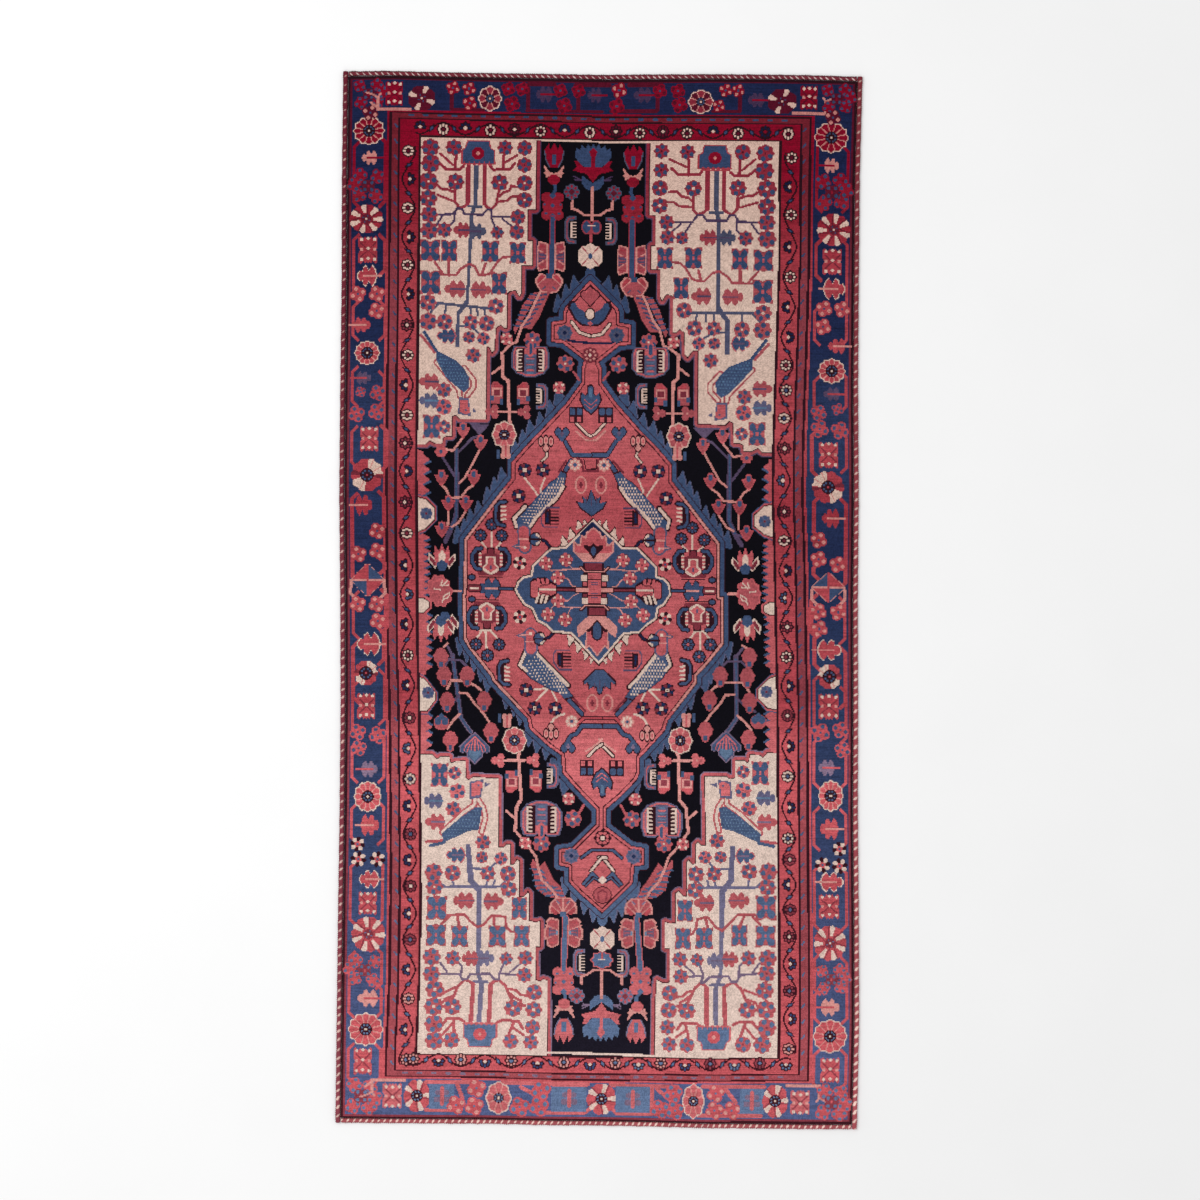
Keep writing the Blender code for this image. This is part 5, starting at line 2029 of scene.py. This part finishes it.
def wool_pile():
    """Cut wool pile: each knot is its own small tuft, and the dye runs in streaks along the rows."""
    wool = Finish("knotted_wool", 0.92, 0.06)
    dye = wool.plain_node("ShaderNodeAttribute", {"attribute_name": "dye"}, {})
    colour, abrash = Wire(wool, dye.outputs["Color"]), Wire(wool, dye.outputs["Alpha"])
    column, row, _ = wool.uv("knots").parts()
    tuft = wool.node("ShaderNodeTexWhiteNoise", {"noise_dimensions": "2D"},
        {"Vector": wool.point(column.floor(), row.floor())}, "Value")
    fine = wool.noise(wool.point(column * 0.035, row * 0.8), 1.0, 3.0, 0.65)
    broad = wool.noise(wool.point(column * 0.012, row * 0.13, 7.0), 1.0, 2.0)
    worn = wool.noise(wool.point(column * 0.16, row * 0.16, 3.0), 1.0, 3.0, 0.6)
    streak = (fine - 0.5) * 1.3 + (broad - 0.5) * 0.5
    light = 1 + abrash * streak + (tuft - 0.5) * 0.42 + (worn - 0.5) * 0.6
    wool.paint(wool.scaled(colour, light))
    tuft_height = cushion(column, row)
    fibre = wool.noise(wool.object_point(), PILE_FIBRES)
    wool.bump(tuft_height * 0.6 + fibre * 0.5 + worn * 1.2 + tuft * 0.2, 0.6 * MM)
    return wool.material


def wool_back():
    """The woven back: the pattern shows as flat knots in rows, with a thin line of weft between rows."""
    wool = Finish("woven_back", 0.9, 0.06)
    dye = wool.plain_node("ShaderNodeAttribute", {"attribute_name": "dye"}, {})
    column, row, _ = wool.uv("knots").parts()
    weft = (row % 1.0) < 0.22
    knot = wool.node("ShaderNodeTexWhiteNoise", {"noise_dimensions": "2D"},
        {"Vector": wool.point(column.floor(), row.floor())}, "Value")
    colour = wool.scaled(Wire(wool, dye.outputs["Color"]), 0.88 + knot * 0.3)
    wool.paint(wool.mix(weft * 0.55, colour, WEFT_COLOUR))
    knot_height = cushion(column, row)
    fibre = wool.noise(wool.object_point(), BACK_FIBRES)
    wool.bump(knot_height + fibre * 0.4, 0.5 * MM)
    return wool.material


def cord_wool(name, pitch, share, slant, middle, rim, dark, pale):
    """Wool laid round a cord in slanting plies, one pale ply in every pitch, worn to a short tick about the
    middle of the way round. Each wool fades from a far colour to a near one. Painted shade darkens it away
    from that middle, round the cord's sides and underside, to rim times its colour."""
    wool = Finish(name, 0.92, 0.06)
    run, around, _ = wool.uv("lay").parts()
    worn = wool.noise(wool.point(run * 0.02, around * 1.5), 1.0, 3.0, 0.6)
    patch = wool.noise(wool.point(run * 0.006, around * 0.2), 1.0, 2.0, 0.5)
    _, y, _ = wool.object_point().parts()
    near = wool.node("ShaderNodeMapRange", {}, {"Value": y, "From Min": 1.2, "From Max": -1.6})
    away = (around - middle).absolute()
    lay = run / pitch + around * slant + 8
    part = ((lay + patch * 1.5) % 1.0 - 0.5).absolute()
    margin = share * (0.4 + near * 0.3) + (worn - 0.5) * 0.3 - away * 0.9 - part
    fuzz = wool.noise(wool.object_point(), CORD_FUZZ)
    pale_part = wool.node("ShaderNodeMapRange", {}, {"Value": margin + (fuzz - 0.5) * 0.12,
        "From Min": -0.05, "From Max": 0.05})
    base = wool.mix(near, *[tuple(linear(code)) + (1,) for code in dark])
    tip = wool.mix(near, *[tuple(linear(code)) + (1,) for code in pale])
    # painted shade: the colour darkens away from the middle of the way round, towards the cord's sides and
    # underside
    edge = wool.node("ShaderNodeMapRange", {}, {"Value": away, "From Min": 0.1, "From Max": 0.28,
        "To Min": 1.0, "To Max": rim})
    # wear and patches vary the tone, and edge multiplies in the painted shade
    wear_and_painted_shade = (0.6 + worn * 0.5 + patch * 0.3) * edge
    wool.paint(wool.scaled(wool.mix(pale_part, base, tip), wear_and_painted_shade))
    fibre = wool.noise(wool.object_point(), PILE_FIBRES)
    strand = ((lay * 16) % 1.0 - 0.5).absolute()
    wool.bump(fibre + worn - strand, 0.6 * MM)
    return wool.material


# ---- the rug ----
def draw_chart():
    """The whole chart, and each knot's depth in from the edge."""
    chart = Chart()
    draw_field(chart)
    draw_heart(chart)
    depth = draw_bands(chart)
    draw_guard(chart)
    draw_minor(chart)
    draw_main(chart)
    return chart, depth


chart, depth = draw_chart()
pile_wool = wool_pile()
border_pile = knotted_piece("border_pile", chart.dye, depth < SEAM_DEPTH, PILE_TOP, PILE_FOOT, pile_wool)
field_pile = knotted_piece("field_pile", chart.dye, depth >= SEAM_DEPTH, PILE_TOP, PILE_FOOT, pile_wool)
back = knotted_piece("woven_back", chart.dye[:, ::2], np.ones((ROWS, COLUMNS // 2), bool), 0.0, BACK_TOP,
    wool_back(), 2)
SIDE_PITCH, END_PITCH = SIDE_RIDGE * SIDE_PLIES, END_RIDGE * END_PLIES
# the sixth value is how dark the painted shade on each cord's sides and underside gets
left_wool = cord_wool("left_wool", SIDE_PITCH, 0.26, 1, 0.25, 0.7, ("6a2230", "904450"), ("bc9890", "e0bcb2"))
right_wool = cord_wool("right_wool", SIDE_PITCH, 0.32, 1, 0.25, 0.8, ("80303a", "b4565e"),
    ("c0a096", "f8d4c8"))
far_wool = cord_wool("far_wool", END_PITCH, 0.4, 2, 0.18, 0.35, ("7c303c", "7c303c"), ("dcc0bc", "dcc0bc"))
near_wool = cord_wool("near_wool", END_PITCH, 0.27, -1, 0.27, 0.8, ("b0585e", "b0585e"), ("f8d4c8", "f8d4c8"))
left_cord = wrapped_cord("left_overcast_cord", side_line(LEFT_EDGE), SIDE_CORD, SIDE_RIDGE, SIDE_PLIES,
    left_wool)
right_cord = wrapped_cord("right_overcast_cord", side_line(RIGHT_EDGE), SIDE_CORD, SIDE_RIDGE, SIDE_PLIES,
    right_wool)
far_cord = wrapped_cord("far_twined_cord", end_line(FAR_EDGE), END_CORD, END_RIDGE, 2 * END_PLIES, far_wool,
    -1)
near_cord = wrapped_cord("near_twined_cord", end_line(NEAR_EDGE), END_CORD, END_RIDGE, -END_PLIES,
    near_wool, 1)

for piece in (border_pile, field_pile, back, left_cord, right_cord, far_cord, near_cord):
    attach(piece, "root")
for piece, node in ((left_cord, "left_side_cord"), (right_cord, "right_side_cord"),
        (far_cord, "far_end_cord"), (near_cord, "near_end_cord")):
    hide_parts(node)
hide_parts("body")
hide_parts("body")
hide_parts("body")


# ---- the room ----
def pale_floor():
    """A plain square, just under the rug."""
    size, level = 8.0, -0.0003
    mesh = bpy.data.meshes.new("floor")
    corners = [(a * size, b * size, level) for a, b in ((-1, -1), (1, -1), (1, 1), (-1, 1))]
    mesh.from_pydata(corners, [], [(0, 1, 2, 3)])
    floor = bpy.data.objects.new("floor", mesh)
    bpy.context.scene.collection.objects.link(floor)
    paint = Finish("floor_paint", 0.8, 0.0)
    grain = paint.noise(paint.object_point(), 3.0, 3.0)
    paint.paint(paint.mix(grain, (0.92, 0.92, 0.92, 1), (0.95, 0.95, 0.95, 1)))
    mesh.materials.append(paint.material)


def soft_light(name, place, aim, size, power):
    """A rectangular lamp that is turned towards its aim."""
    lamp = bpy.data.lights.new(name, "AREA")
    lamp.shape = "RECTANGLE"
    lamp.size, lamp.size_y = size
    lamp.energy = power
    light = bpy.data.objects.new(name, lamp)
    light.location = place
    light.rotation_euler = (Vector(aim) - Vector(place)).to_track_quat("-Z", "Y").to_euler()
    bpy.context.scene.collection.objects.link(light)


pale_floor()
world = bpy.data.worlds.new("studio")
world.use_nodes = True
world.node_tree.nodes["Background"].inputs["Color"].default_value = (1, 1, 1, 1)
world.node_tree.nodes["Background"].inputs["Strength"].default_value = 0.75
bpy.context.scene.world = world
soft_light("window_light", (-3.2, 0.8, 5.5), (0, 0, 0), (4.0, 4.0), 150)
camera = bpy.data.objects.new("camera", bpy.data.cameras.new("camera"))
camera.data.lens = 90
camera.data.sensor_width = 36
camera.location = (0.003, 0, 9.0)
bpy.context.scene.collection.objects.link(camera)
bpy.context.scene.camera = camera
bpy.context.scene.view_settings.view_transform = "Standard"
